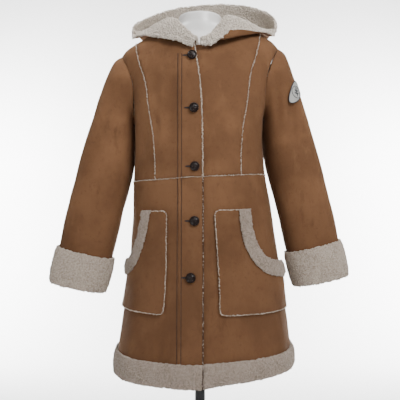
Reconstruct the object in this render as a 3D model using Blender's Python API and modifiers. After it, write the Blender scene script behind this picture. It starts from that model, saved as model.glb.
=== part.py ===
"""Hooded shearling coat, buttoned on a limbless dress form.

Sizes are metres, +Z is up, the coat's front faces -Y and the wearer's left is +X.
The origin is on the floor, at the middle of the underside of the form's base.
"""

import math
from typing import NamedTuple

import bmesh
import bpy
from mathutils import Vector

# Heights of the coat on its form.
HEM_Z = 0.556
TRIM_TOP_Z = 0.605
WAIST_Z = 1.012
ARMPIT_Z = 1.150
SHOULDER_Z = 1.322

# Thicknesses and clearances.
CLOTH = 0.004  # suede with its clipped wool
HOOD_CLOTH = 0.006  # suede with longer wool
PILE = 0.008  # a turned-back band of full wool
SEAM_GAP = 0.0004
LAID_GAP = 0.0005
SPLIT = Vector((0.11, 0.37, 1.0))
POCKET_GAP = 0.0017
BAND_GAP = 0.0011
LAP_GAP = 0.0009

# Shape of the level outlines: 2 is an ellipse, more is squarer.
SQUARENESS = 2.3

# The coat hangs a little askew: its left shoulder is higher and its skirt is turned.
SHOULDER_TILT = 0.055
TILT_FROM_Z, TILT_FULL_Z = 0.90, 1.01
HEM_RISE, HEM_STEP = 0.068, 0.005
RISE_FULL_Z, RISE_FROM_Z = 0.545, 0.66
SKIRT_TURN = -7.0
TURN_FULL_Z = 0.95

# Armhole, an oval seen from the side; a power above 1 makes its ends more pointed.
ARMHOLE_HALF_HEIGHT = (SHOULDER_Z - ARMPIT_Z) / 2
ARMHOLE_HALF_DEPTH = 0.062
ARMHOLE_POWER = 1.18
ARMHOLE_STEP = 18

# Neckline, an oval seen from above, drawn to a point at its front.
NECK_HALF_WIDTH = 0.070
NECK_FRONT = 0.0895
NECK_BACK = 0.068
NECK_FRONT_POWER = 1.2

# Closure. Buttons stand on the wearer's right front, which laps over the left.
UNDER_EDGE_X = -0.036
LAP_START_X, LAP_FULL_X = -0.0623, -0.0473
BUTTON_RADIUS = 0.0108
BUTTON_HEIGHT = 0.0068

# Dress form.
NECK_RADIUS = 0.053
NECK_Y = 0.004
NECK_TOP_Z = 1.411
FORM_FOOT_Z = 0.700
FORM_FIT = 0.0026
FORM_SLACK = 0.0045
POLE_RADIUS = 0.0125
BASE_RADIUS = 0.170
BASE_HEIGHT = 0.010


class Section(NamedTuple):
    """A level outline: its height, the X of its middle, and how far it reaches."""

    z: float
    middle_x: float
    half_width: float
    front: float
    back: float


class Share(NamedTuple):
    """A place along a line from 0 to 1, and the X of the line there."""

    share: float
    x: float


class Edge(NamedTuple):
    """The X of a front edge at one height."""

    z: float
    x: float


class SleeveRing(NamedTuple):
    """One ring of a sleeve, from its outer line to its underarm line."""

    ring: float
    outer_x: float
    outer_z: float
    inner_x: float
    inner_z: float
    half_depth: float
    middle_y: float


class HoodRib(NamedTuple):
    """One rib of the hood, from the neckline to the rim, bent by a handle at each end."""

    around: float
    rim_x: float
    rim_y: float
    rim_z: float
    root_out: float
    root_rise: float
    rim_out: float
    rim_rise: float


class BodyFold(NamedTuple):
    """A soft ridge, or a trough where its height is below 0, down the body of the coat."""

    angle: float
    half_angle: float
    low_z: float
    high_z: float
    height: float
    slant: float


class SleeveFold(NamedTuple):
    """A soft ridge, or a trough where its height is below 0, on a sleeve."""

    ring: float
    half_rings: float
    around: float
    half_around: float
    height: float


class Mouth(NamedTuple):
    """A place on a pocket's trimmed mouth: the shares across the pocket and the heights of its two edges."""

    place: float
    edge_share: float
    edge_z: float
    inner_share: float
    inner_z: float


BODY = (
    Section(0.540, 0.0090, 0.2140, 0.188, 0.166),
    Section(0.610, 0.0095, 0.2080, 0.181, 0.161),
    Section(0.700, 0.0115, 0.1960, 0.170, 0.153),
    Section(0.780, 0.0122, 0.1850, 0.159, 0.145),
    Section(0.860, 0.0085, 0.1755, 0.148, 0.135),
    Section(0.930, 0.0050, 0.1680, 0.138, 0.122),
    Section(1.012, -0.0022, 0.1606, 0.128, 0.108),
    Section(1.080, -0.0033, 0.1567, 0.127, 0.104),
    Section(1.150, -0.0028, 0.1572, 0.128, 0.110),
    Section(1.200, -0.0010, 0.1670, 0.123, 0.114),
    Section(1.250, 0.0000, 0.1800, 0.113, 0.113),
    Section(1.290, 0.0000, 0.1870, 0.101, 0.104),
    Section(1.322, 0.0000, 0.1900, 0.086, 0.092),
    Section(1.342, 0.0000, 0.1690, 0.075, 0.082),
    Section(1.360, 0.0000, 0.1400, 0.064, 0.074),
    Section(1.376, 0.0000, 0.1060, 0.055, 0.067),
    Section(1.390, 0.0000, 0.0760, 0.047, 0.060),
    Section(1.405, 0.0000, 0.0500, 0.040, 0.050),
)

# The dress form below the chest; above it the form fits the coat's shoulders.
FORM_BODY = (
    Section(FORM_FOOT_Z, 0.004, 0.1380, 0.096, 0.108),
    Section(0.780, 0.004, 0.1560, 0.105, 0.122),
    Section(0.860, 0.003, 0.1540, 0.106, 0.116),
    Section(0.930, 0.002, 0.1400, 0.099, 0.098),
    Section(1.000, 0.000, 0.1250, 0.092, 0.084),
    Section(1.060, 0.000, 0.1290, 0.099, 0.086),
    Section(1.120, 0.000, 0.1400, 0.112, 0.094),
    Section(1.180, 0.000, 0.1510, 0.112, 0.102),
)
FORM_LOW_HEIGHTS = (FORM_FOOT_Z, 0.735, 0.780, 0.830, 0.880, 0.930, 0.970, 1.010, 1.060, 1.110, 1.160, 1.195)
FORM_FIT_HEIGHTS = (1.250, 1.285, 1.312, 1.332, 1.346, 1.358, 1.370)

# Heights and radii of the form's neck.
NECK_RINGS = (
    (1.383, NECK_RADIUS + 0.003),
    (1.391, NECK_RADIUS),
    (NECK_TOP_Z - 0.003, NECK_RADIUS),
    (NECK_TOP_Z, NECK_RADIUS - 0.003),
)

# Princess seam from the waist to the shoulder seam, before the seams' sideways shift.
PRINCESS = (
    Share(0.00, 0.0980),
    Share(0.12, 0.0985),
    Share(0.27, 0.1010),
    Share(0.40, 0.1080),
    Share(0.51, 0.1145),
    Share(0.63, 0.1195),
    Share(0.72, 0.1260),
    Share(0.83, 0.1390),
    Share(1.00, 0.1510),
)
PRINCESS_SHIFT = -0.005

# Edge of the lapping front.
FRONT_EDGE = (
    Edge(0.540, 0.0050),
    Edge(0.650, 0.0067),
    Edge(1.000, 0.0067),
    Edge(1.120, 0.0055),
    Edge(1.185, 0.0035),
    Edge(1.227, 0.0005),
    Edge(1.267, -0.0050),
    Edge(1.320, -0.0130),
)

SLEEVE = (
    SleeveRing(0, 0.1900, 1.3220, 0.1600, 1.1500, 0.062, 0.000),
    SleeveRing(1, 0.2095, 1.3110, 0.1655, 1.1440, 0.061, 0.000),
    SleeveRing(2, 0.2235, 1.2820, 0.1675, 1.1310, 0.060, -0.001),
    SleeveRing(3, 0.2380, 1.2430, 0.1680, 1.1130, 0.059, -0.002),
    SleeveRing(4, 0.2535, 1.1970, 0.1680, 1.0900, 0.058, -0.003),
    SleeveRing(5, 0.2700, 1.1470, 0.1685, 1.0600, 0.057, -0.004),
    SleeveRing(6, 0.2865, 1.0910, 0.1700, 1.0200, 0.056, -0.005),
    SleeveRing(7, 0.3020, 1.0340, 0.1765, 0.9820, 0.055, -0.007),
    SleeveRing(8, 0.3165, 0.9760, 0.1870, 0.9350, 0.054, -0.009),
    SleeveRing(9, 0.3305, 0.9200, 0.1985, 0.8850, 0.053, -0.011),
    SleeveRing(10, 0.3415, 0.8630, 0.2115, 0.8320, 0.051, -0.013),
    SleeveRing(11, 0.3520, 0.8120, 0.2240, 0.7850, 0.049, -0.015),
    SleeveRing(12, 0.3610, 0.7680, 0.2350, 0.7410, 0.048, -0.017),
)
SLEEVE_RINGS = (0, 0.5, 1, 1.6, 2.3, 3.1, 4, 5, 6, 7, 8, 9, 10, 11, 11.75)
CUFF_RINGS = (10.1, 10.35, 11, 11.5, 11.87)
CUFF_SHARES = (0.45, 0.92, 1.0, 0.97, 0.55)  # of the pile's height, so that its edges round over
SLEEVE_LIFT = {1: 0.006, -1: -0.009}  # how much higher each sleeve hangs than the drawn one
SLEEVE_DRAW = {1: -0.0055, -1: 0.0}  # how much further out each sleeve hangs below its head
ARMHOLE_BLEND = 3.0
TUCK_RING, TUCK_HALF_RINGS = 3.2, 4.8
TUCK_IN = {1: 0.0170, -1: 0.0105}  # how much nearer to the body each sleeve's inner side hangs under the arm
TUCK_BACK = 0.034  # and how much further back, so that no light shows between them

HOOD = (
    HoodRib(5, 0.003, -0.103, 1.3150, 0.000, 0.014, -0.002, 0.015),
    HoodRib(20, 0.027, -0.104, 1.3135, 0.000, 0.013, -0.006, 0.012),
    HoodRib(27, 0.043, -0.109, 1.3250, 0.003, 0.010, -0.012, -0.002),
    HoodRib(36, 0.064, -0.106, 1.3460, 0.006, 0.004, 0.000, -0.044),
    HoodRib(48, 0.093, -0.089, 1.3530, 0.014, 0.003, 0.002, -0.042),
    HoodRib(60, 0.126, -0.071, 1.3540, 0.022, 0.002, -0.008, -0.024),
    HoodRib(85, 0.166, -0.037, 1.3590, 0.030, 0.004, -0.022, -0.006),
    HoodRib(98, 0.180, -0.012, 1.3590, 0.036, 0.002, -0.016, -0.009),
    HoodRib(112, 0.189, 0.014, 1.3880, 0.045, -0.004, 0.006, -0.034),
    HoodRib(130, 0.188, 0.055, 1.4260, 0.045, -0.010, 0.045, -0.070),
    HoodRib(148, 0.148, 0.100, 1.4630, 0.055, -0.070, 0.068, -0.150),
    HoodRib(165, 0.070, 0.135, 1.4840, 0.046, -0.125, 0.078, -0.260),
    HoodRib(195, -0.055, 0.130, 1.4730, 0.046, -0.125, 0.078, -0.260),
    HoodRib(212, -0.112, 0.100, 1.4480, 0.055, -0.070, 0.068, -0.140),
    HoodRib(230, -0.151, 0.062, 1.4190, 0.045, -0.010, 0.045, -0.066),
    HoodRib(250, -0.172, 0.020, 1.3870, 0.042, -0.004, 0.008, -0.034),
    HoodRib(263, -0.161, -0.004, 1.3500, 0.036, 0.004, -0.014, -0.010),
    HoodRib(275, -0.147, -0.030, 1.3570, 0.022, 0.008, -0.020, -0.002),
    HoodRib(300, -0.107, -0.064, 1.3430, 0.010, 0.012, -0.012, 0.006),
    HoodRib(325, -0.063, -0.091, 1.3310, 0.000, 0.014, -0.008, 0.010),
    HoodRib(350, -0.017, -0.104, 1.3100, 0.000, 0.014, -0.002, 0.014),
)
HOOD_SEAMS = (5, 165, 195, 350)  # front corner, two long seams, front corner
HOOD_COLUMNS = (20, 3, 12)
HOOD_ROWS = 12
HOOD_CLEARANCE = 0.003
HOOD_SOFTNESS = 0.008  # how far from the coat the hood starts to be moved off it
HOOD_SEAM_RISE = 0.0025

BODY_FOLDS = (
    BodyFold(58, 11, 0.45, 0.80, 0.0045, 0),
    BodyFold(-52, 12, 0.45, 0.80, 0.0045, 0),
    BodyFold(24, 9, 0.45, 0.72, -0.0030, 0),
    BodyFold(-20, 9, 0.45, 0.72, -0.0030, 0),
    BodyFold(112, 12, 0.45, 0.95, 0.0060, 0),
    BodyFold(-114, 13, 0.45, 0.93, 0.0060, 0),
    BodyFold(142, 12, 0.45, 0.98, -0.0060, 0),
    BodyFold(-146, 13, 0.45, 0.98, -0.0060, 0),
    BodyFold(176, 15, 0.45, 1.00, 0.0060, 0),
    BodyFold(62, 13, 1.02, 1.22, -0.0025, -60),
    BodyFold(-60, 14, 1.02, 1.22, -0.0030, 60),
    BodyFold(-26, 8, 1.03, 1.24, 0.0020, 70),
    BodyFold(128, 14, 1.02, 1.26, -0.0040, 40),
    BodyFold(-128, 14, 1.02, 1.26, -0.0040, -40),
)

SLEEVE_FOLDS = (
    SleeveFold(3.0, 3.2, 128, 26, 0.0050),
    SleeveFold(3.6, 3.4, 84, 24, -0.0050),
    SleeveFold(3.4, 2.6, 232, 30, 0.0045),
    SleeveFold(6.6, 0.9, 150, 55, -0.0045),
    SleeveFold(7.7, 0.8, 205, 60, -0.0040),
    SleeveFold(7.2, 0.8, 60, 50, 0.0025),
    SleeveFold(8.9, 0.9, 110, 40, 0.0025),
)

POCKET_LOW_Z, POCKET_TOP_Z = 0.708, 0.936
POCKET_ANGLES = {1: (7.0, 76.5), -1: (-24.6, -88.5)}
POCKET_SWAY = {1: 0.0, -1: 0.085}  # how much more slanted each mouth is than the drawn one
POCKET_CORNER = 0.0030
POCKET_CORNER_U, POCKET_CORNER_V = 0.032, 0.040  # the shares across and up that frame its rounded corners
POCKET_MOUTH = (
    Mouth(0.00, 0.417, 0.936, 0.267, 0.936),
    Mouth(0.15, 0.409, 0.905, 0.266, 0.897),
    Mouth(0.32, 0.433, 0.872, 0.293, 0.857),
    Mouth(0.47, 0.487, 0.846, 0.366, 0.822),
    Mouth(0.60, 0.576, 0.829, 0.485, 0.799),
    Mouth(0.72, 0.690, 0.8214, 0.646, 0.788),
    Mouth(0.86, 0.850, 0.818, 0.840, 0.782),
    Mouth(1.00, 1.000, 0.8155, 1.000, 0.779),
)

BUTTONS = (
    Edge(1.290, -0.0180),
    Edge(1.167, -0.0135),
    Edge(1.036, -0.0115),
    Edge(0.913, -0.0120),
    Edge(0.789, -0.0200),
)
BUTTON_PROFILE = ((0, 1), (0.42, 0.95), (0.76, 0.74), (0.97, 0.42), (1.0, 0.2), (0.86, 0), (0, 0))

BADGE_RING, BADGE_HALF_RINGS = 3.37, 0.47
BADGE_AROUND, BADGE_HALF_AROUND = 43, 29
BADGE_THICKNESS = 0.0016

SUEDE = ("suede", (0.27, 0.135, 0.065), 0.85, 0.0)
WOOL = ("wool", (0.62, 0.56, 0.47), 0.95, 0.0)
BUTTON_LEATHER = ("button leather", (0.03, 0.014, 0.010), 0.30, 0.0)
BADGE_CLOTH = ("badge cloth", (0.45, 0.43, 0.40), 0.80, 0.0)
WHITE_SHELL = ("white shell", (0.80, 0.80, 0.79), 0.30, 0.0)
BLACK_STEEL = ("black steel", (0.02, 0.02, 0.02), 0.40, 0.8)


# ---------------------------------------------------------------- tables and lines


def smooth_row(table, at):
    """Every column of a table at one value of its first column, on smooth curves through its rows."""
    last = len(table) - 1
    at = min(max(at, table[0][0]), table[last][0])
    k = 0
    while k < last - 1 and table[k + 1][0] <= at:
        k += 1
    low, high = table[k], table[k + 1]
    before, after = table[max(k - 1, 0)], table[min(k + 2, last)]
    span = high[0] - low[0]
    t = (at - low[0]) / span
    values = [at]
    for a, b, c, d in zip(before[1:], low[1:], high[1:], after[1:]):
        slope_low = (c - a) / (high[0] - before[0]) * span
        slope_high = (d - b) / (after[0] - low[0]) * span
        values.append(
            b * (1 + 2 * t) * (1 - t) ** 2
            + slope_low * t * (1 - t) ** 2
            + c * t * t * (3 - 2 * t)
            - slope_high * t * t * (1 - t)
        )
    return type(low)(*values)


def ramp(value, low, high):
    """0 up to low, 1 from high on, and smooth between."""
    t = min(max((value - low) / (high - low), 0.0), 1.0)
    return t * t * (3 - 2 * t)


def swell(value, middle, half):
    """1 at the middle, 0 a half-width away, and smooth between."""
    return 1 - ramp(abs(value - middle), 0.0, half)


def steps(count):
    """The shares 0 to 1 in equal steps."""
    return [k / count for k in range(count + 1)]


# ---------------------------------------------------------------- the body of the coat


def outside(point):
    """Below 0 inside the coat's plain outline, 0 on it and above 0 outside it."""
    section = smooth_row(BODY, point.z)
    depth = section.front if point.y < 0 else section.back
    across = abs(point.x - section.middle_x) / section.half_width
    along = abs(point.y) / depth
    return (across**SQUARENESS + along**SQUARENESS) ** (1 / SQUARENESS) - 1


def slope_of(point):
    """How quickly outside() grows from this point, as a vector."""
    tiny = 0.0004
    moves = (Vector((tiny, 0, 0)), Vector((0, tiny, 0)), Vector((0, 0, tiny)))
    return Vector([outside(point + m) - outside(point - m) for m in moves]) / (2 * tiny)


def laid_on(point):
    """The place on the plain outline nearest to this point."""
    point = point.copy()
    for _ in range(5):
        slope = slope_of(point)
        point -= slope * (outside(point) / slope.length_squared)
    return point


def ring_point(angle, z):
    """A place on the plain outline: angle 0 is the front, 90 the wearer's left and 180 the back."""
    section = smooth_row(BODY, z)
    sine, cosine = math.sin(math.radians(angle)), math.cos(math.radians(angle))
    depth = section.front if cosine > 0 else section.back
    power = 2 / SQUARENESS
    x = section.middle_x + section.half_width * math.copysign(abs(sine) ** power, sine)
    return Vector((x, -depth * math.copysign(abs(cosine) ** power, cosine), z))


def angle_of(point):
    """The angle of ring_point() that passes a point."""
    section = smooth_row(BODY, point.z)
    depth = section.front if point.y < 0 else section.back
    power = SQUARENESS / 2
    across = (point.x - section.middle_x) / section.half_width
    along = -point.y / depth
    sine = math.copysign(abs(across) ** power, across)
    cosine = math.copysign(abs(along) ** power, along)
    return math.degrees(math.atan2(sine, cosine))


def front_angle(x, z):
    """The angle at which the front of the outline reaches an X."""
    section = smooth_row(BODY, z)
    across = (x - section.middle_x) / section.half_width
    sine = math.copysign(min(abs(across), 1.0) ** (SQUARENESS / 2), across)
    return math.degrees(math.asin(sine))


def on_top(x, y):
    """The place on the shoulders above a point of the plan."""
    low, high = 1.20, 1.40
    for _ in range(40):
        middle = (low + high) / 2
        if outside(Vector((x, y, middle))) < 0:
            low = middle
        else:
            high = middle
    return Vector((x, y, low))


def body_fold(angle, z):
    """How far the folds raise the cloth at an angle and a height."""
    raised = 0.0
    for fold in BODY_FOLDS:
        middle = fold.angle + fold.slant * (z - fold.low_z)
        off = (angle - middle + 180) % 360 - 180
        if fold.low_z < 0.5:  # a flute of the skirt, deepest at the hem
            along = 1 - ramp(z, HEM_Z, fold.high_z)
        else:
            along = swell(z, (fold.low_z + fold.high_z) / 2, (fold.high_z - fold.low_z) / 2)
        raised += fold.height * along * swell(off, 0, fold.half_angle)
    return raised


def tilted(point):
    """The point where the coat's askew shoulders, or its rising left hem, carry it."""
    lift = SHOULDER_TILT * point.x * ramp(point.z, TILT_FROM_Z, TILT_FULL_Z)
    if point.x > 0:
        rise = HEM_RISE * point.x + HEM_STEP * ramp(point.x, 0.004, 0.030)
        lift += rise * (1 - ramp(point.z, RISE_FULL_Z, RISE_FROM_Z))
    return point + Vector((0, 0, lift))


def cloth_point(place, out):
    """A point that far out of the coat's outer face, over a place on the plain outline."""
    normal = slope_of(place).normalized()
    return tilted(place + normal * (body_fold(angle_of(place), place.z) + out))


def lap(place):
    """How far the lapping front stands out to clear the front under it."""
    if place.y > 0:
        return 0.0
    return (CLOTH + LAP_GAP) * ramp(place.x, LAP_START_X, LAP_FULL_X)


def flat(_place):
    """No lap: the cloth lies on the plain outline."""
    return 0.0


# ---------------------------------------------------------------- seam lines


def side_angle(side, z):
    """The angle of a side seam, which turns with the skirt below the armpit."""
    return 90 * side + SKIRT_TURN * (1 - ramp(z, TURN_FULL_Z, ARMPIT_Z))


def armhole(side, around, smaller=0.0):
    """A place on an armhole: around 0 is the shoulder, 90 the front and 180 the armpit."""
    cosine, sine = math.cos(math.radians(around)), math.sin(math.radians(around))
    z = ARMPIT_Z + ARMHOLE_HALF_HEIGHT
    z += (ARMHOLE_HALF_HEIGHT - smaller) * math.copysign(abs(cosine) ** ARMHOLE_POWER, cosine)
    y = -(ARMHOLE_HALF_DEPTH - smaller) * math.copysign(abs(sine) ** ARMHOLE_POWER, sine)
    section = smooth_row(BODY, z)
    depth = section.front if y < 0 else section.back
    across = (1 - (abs(y) / depth) ** SQUARENESS) ** (1 / SQUARENESS)
    return Vector((section.middle_x + side * section.half_width * across, y, z))


def neckline(around, smaller=0.0):
    """A place on the neckline: around 0 is the front, 90 the wearer's left and 180 the back."""
    sine, cosine = math.sin(math.radians(around)), math.cos(math.radians(around))
    if cosine < 0:
        return on_top((NECK_HALF_WIDTH - smaller) * sine, -(NECK_BACK - smaller) * cosine)
    across = math.copysign(abs(sine) ** NECK_FRONT_POWER, sine)
    return on_top((NECK_HALF_WIDTH - smaller) * across, -(NECK_FRONT - smaller) * cosine**NECK_FRONT_POWER)


def neck_angle(x):
    """The angle of the front of the neckline at an X."""
    return math.degrees(math.asin(math.copysign((abs(x) / NECK_HALF_WIDTH) ** (1 / NECK_FRONT_POWER), x)))


def bodice_heights(top_z):
    """Heights of the bodice's rows: even below the armpit, then as the armhole's steps rise."""
    heights = [WAIST_Z + (ARMPIT_Z - WAIST_Z) * k for k in steps(5)]
    for around in range(180 - ARMHOLE_STEP, -1, -ARMHOLE_STEP):
        heights.append(ARMPIT_Z + (top_z - ARMPIT_Z) * (1 + math.cos(math.radians(around))) / 2)
    return heights


def side_line(side, front):
    """Places up the side seam and round the front or back of the armhole, to the shoulder."""
    low = [z for z in bodice_heights(SHOULDER_Z) if z < ARMPIT_Z - 0.001]
    arounds = range(180, -1, -ARMHOLE_STEP) if front else range(180, 361, ARMHOLE_STEP)
    return [ring_point(side_angle(side, z), z) for z in low] + [armhole(side, a) for a in arounds]


def princess_line(side):
    """Places up a princess seam, from the waist to the shoulder seam."""
    top_x = side * PRINCESS[-1].x + PRINCESS_SHIFT
    top = on_top(top_x, 0)
    places = []
    for z in bodice_heights(top.z)[:-1]:
        share = (z - WAIST_Z) / (top.z - WAIST_Z)
        x = side * smooth_row(PRINCESS, share).x + PRINCESS_SHIFT
        places.append(ring_point(front_angle(x, z), z))
    return places + [top]


def lap_start(_z):
    """The X where the lapping front starts to rise."""
    return LAP_START_X


def lap_full(_z):
    """The X where the lapping front has risen clear."""
    return LAP_FULL_X


def lap_edge(z):
    """The X of the lapping front's edge."""
    return smooth_row(FRONT_EDGE, z).x


def under_edge(_z):
    """The X of the left front's edge, under the lapping front."""
    return UNDER_EDGE_X


def front_line(x_at):
    """Places up the front, from the waist to the neckline, at an X that depends on the height."""
    top = neckline(neck_angle(x_at(1.312)))
    heights = bodice_heights(top.z)[:-1]
    return [ring_point(front_angle(x_at(z), z), z) for z in heights] + [top]


def waist_line(start, end, columns):
    """Places along the waist between two angles."""
    return [ring_point(start + (end - start) * k, WAIST_Z) for k in steps(columns)]


# ---------------------------------------------------------------- grids of places


def patch(bottom, top, left, right):
    """Rows of places between four lines that meet at their ends, laid on the coat's outline."""
    rows = []
    for v, a, b in zip(steps(len(left) - 1), left, right):
        row = []
        rise = ramp(v, 0.25, 1.0)
        for u, low, high in zip(steps(len(bottom) - 1), bottom, top):
            corners = bottom[0].lerp(bottom[-1], u).lerp(top[0].lerp(top[-1], u), rise)
            row.append(laid_on(low.lerp(high, rise) + a.lerp(b, u) - corners))
        rows.append(row)
    return rows


def side_by_side(first, second):
    """The rows of two grids that share a line, as one grid."""
    return [a + b[1:] for a, b in zip(first, second)]


def drawn_in(rows, gap=SEAM_GAP / 2):
    """The same rows with their border moved in, to leave half a seam's gap on each side."""
    last_row, last_column = len(rows) - 1, len(rows[0]) - 1
    moved = [list(row) for row in rows]
    for r in range(last_row + 1):
        for c in range(last_column + 1):
            shift = Vector((0, 0, 0))
            for at_border, neighbour in (
                (c == 0, (r, 1)),
                (c == last_column, (r, last_column - 1)),
                (r == 0, (1, c)),
                (r == last_row, (last_row - 1, c)),
            ):
                if at_border:
                    shift += (rows[neighbour[0]][neighbour[1]] - rows[r][c]).normalized() * gap
            moved[r][c] = rows[r][c] + shift
    return moved


def bodice_side_front(side):
    """Places of the panel between the side seam and the princess seam."""
    left, right = side_line(side, front=True), princess_line(side)
    columns = 4
    bottom = waist_line(angle_of(left[0]), angle_of(right[0]), columns)
    shoulder_x = left[-1].x
    top = [on_top(shoulder_x + (right[-1].x - shoulder_x) * k, 0) for k in steps(columns)]
    top[0], top[-1] = left[-1], right[-1]
    return patch(bottom, top, left, right)


def bodice_centre_front(side):
    """Places of the panel between the princess seam and the front edge."""
    left = princess_line(side)
    right = front_line(under_edge if side > 0 else lap_start)
    on_shoulder, on_neckline = 2, 6 if side > 0 else 2
    bottom = waist_line(angle_of(left[0]), angle_of(right[0]), on_shoulder + on_neckline)
    start_x = left[-1].x
    top = [on_top(start_x + (side * NECK_HALF_WIDTH - start_x) * k, 0) for k in steps(on_shoulder)]
    end = neck_angle(right[-1].x)
    top += [neckline(90 * side + (end - 90 * side) * k) for k in steps(on_neckline)[1:]]
    top[0], top[-1] = left[-1], right[-1]
    front = patch(bottom, top, left, right)
    if side > 0:
        return front
    rising, risen = front_strip(lap_start, lap_full, 1), front_strip(lap_full, lap_edge, 3)
    return side_by_side(side_by_side(front, rising), risen)


def front_strip(start_x, end_x, columns):
    """Places of a strip up the front, between two lines."""
    left, right = front_line(start_x), front_line(end_x)
    bottom = waist_line(angle_of(left[0]), angle_of(right[0]), columns)
    start, end = neck_angle(left[-1].x), neck_angle(right[-1].x)
    top = [neckline(start + (end - start) * k) for k in steps(columns)]
    return patch(bottom, top, left, right)


def bodice_back():
    """Places of the back panel, from one side seam round to the other."""
    left, right = side_line(1, front=False), side_line(-1, front=False)
    on_shoulder, on_neckline = 4, 8
    start, end = side_angle(1, WAIST_Z), side_angle(-1, WAIST_Z) + 360
    bottom = waist_line(start, end, 2 * on_shoulder + on_neckline)
    top = [on_top(left[-1].x + (NECK_HALF_WIDTH - left[-1].x) * k, 0) for k in steps(on_shoulder)]
    top += [neckline(90 + 180 * k) for k in steps(on_neckline)[1:-1]]
    top += [on_top(right[-1].x * k - NECK_HALF_WIDTH * (1 - k), 0) for k in steps(on_shoulder)]
    top[0], top[-1] = left[-1], right[-1]
    return patch(bottom, top, left, right)


def skirt_rows(heights, lines, columns):
    """Rows of places round the skirt, with so many columns between each two of its lines.

    A line is a function that gives its angle at a height.
    """
    rows = []
    for z in heights:
        angles = [lines[0](z)]
        for line, count in zip(lines[1:], columns):
            start, end = angles[-1], line(z)
            angles += [start + (end - start) * k for k in steps(count)[1:]]
        rows.append([ring_point(angle, z) for angle in angles])
    return rows


def skirt_start(side):
    """The line of a side seam on the skirt."""
    return lambda z: side_angle(side, z)


def skirt_back_end(z):
    """The line of the right side seam, counted on from the back."""
    return side_angle(-1, z) + 360


def skirt_front_at(x_at, beyond=0.0):
    """A line of the skirt's front, at an X that depends on the height."""
    return lambda z: front_angle(x_at(z) + beyond, z)


# ---------------------------------------------------------------- solids


def material_of(finish):
    """The material of a finish, made once."""
    name, colour, roughness, metallic = finish
    material = bpy.data.materials.get(name)
    if material is None:
        material = bpy.data.materials.new(name)
        material.use_nodes = True
        material.diffuse_color = (*colour, 1)
        shader = material.node_tree.nodes["Principled BSDF"]
        shader.inputs["Base Color"].default_value = (*colour, 1)
        shader.inputs["Roughness"].default_value = roughness
        shader.inputs["Metallic"].default_value = metallic
    return material


def new_object(name, mesh, finish, smooth=True):
    """An object of the coat's collection that shows a mesh."""
    if smooth:
        mesh.shade_smooth()
        mesh.set_sharp_from_angle(angle=math.radians(50))
    if not mesh.materials:
        mesh.materials.append(material_of(finish))
    made = bpy.data.objects.new(name, mesh)
    bpy.data.collections["Shearling coat"].objects.link(made)
    return made


def mesh_from(name, shape):
    """A mesh of a bmesh shape, its faces turned outwards."""
    bmesh.ops.recalc_face_normals(shape, faces=shape.faces)
    mesh = bpy.data.meshes.new(name)
    shape.to_mesh(mesh)
    shape.free()
    return mesh


def loft(shape, rows, round_about):
    """Vertices on rows of points and the faces between them; round_about joins each row's ends."""
    vertices = [[shape.verts.new(p) for p in row] for row in rows]
    count = len(rows[0])
    for low, high in zip(vertices, vertices[1:]):
        for c in range(count if round_about else count - 1):
            d = (c + 1) % count
            shape.faces.new((low[c], low[d], high[d], high[c]))
    return vertices


def border(grid, round_about):
    """The loops of vertices round a lofted grid."""
    if round_about:
        return [grid[0], grid[-1]]
    left = [row[0] for row in grid]
    right = [row[-1] for row in grid]
    return [grid[0] + right[1:] + grid[-1][-2::-1] + left[-2:0:-1]]


def cloth_wall(name, outer, inner, finish, round_about=False):
    """A wall of cloth: its outer and inner face lofted, and joined round their borders.

    The border's faces are split by one rule, so that two panels that meet split them alike.
    """
    shape = bmesh.new()
    outer_grid = loft(shape, outer, round_about)
    inner_grid = loft(shape, inner, round_about)
    for out_loop, in_loop in zip(border(outer_grid, round_about), border(inner_grid, round_about)):
        for k, a in enumerate(out_loop):
            b, c, d = out_loop[(k + 1) % len(out_loop)], in_loop[(k + 1) % len(out_loop)], in_loop[k]
            halves = ((a, b, c), (a, c, d)) if a.co.dot(SPLIT) < b.co.dot(SPLIT) else ((a, b, d), (b, c, d))
            for half in halves:
                shape.faces.new(half)
    return new_object(name, mesh_from(name, shape), finish)


def panel(name, places, finish, raise_of=flat, low=-CLOTH, high=0.0):
    """A panel of the coat, from low to high out of the coat's outer face, over these places."""
    inner = [[cloth_point(p, raise_of(p) + low) for p in row] for row in places]
    outer = [[cloth_point(p, raise_of(p) + high) for p in row] for row in places]
    return cloth_wall(name, outer, inner, finish)


def pile_band(name, rows, shares, raise_of=flat):
    """A band of full wool laid on the skirt: each row stands up by its share of the pile."""
    inner = [[cloth_point(p, raise_of(p) + LAID_GAP) for p in row] for row in rows]
    outer = [
        [cloth_point(p, raise_of(p) + LAID_GAP + PILE * share) for p in row]
        for row, share in zip(rows, shares)
    ]
    return cloth_wall(name, outer, inner, WOOL)


# ---------------------------------------------------------------- sleeves


def sleeve_fold(ring, around):
    """How far the folds raise a sleeve at a place."""
    raised = 0.0
    for fold in SLEEVE_FOLDS:
        off = (around - fold.around + 180) % 360 - 180
        raised += fold.height * swell(ring, fold.ring, fold.half_rings) * swell(off, 0, fold.half_around)
    return raised


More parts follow.
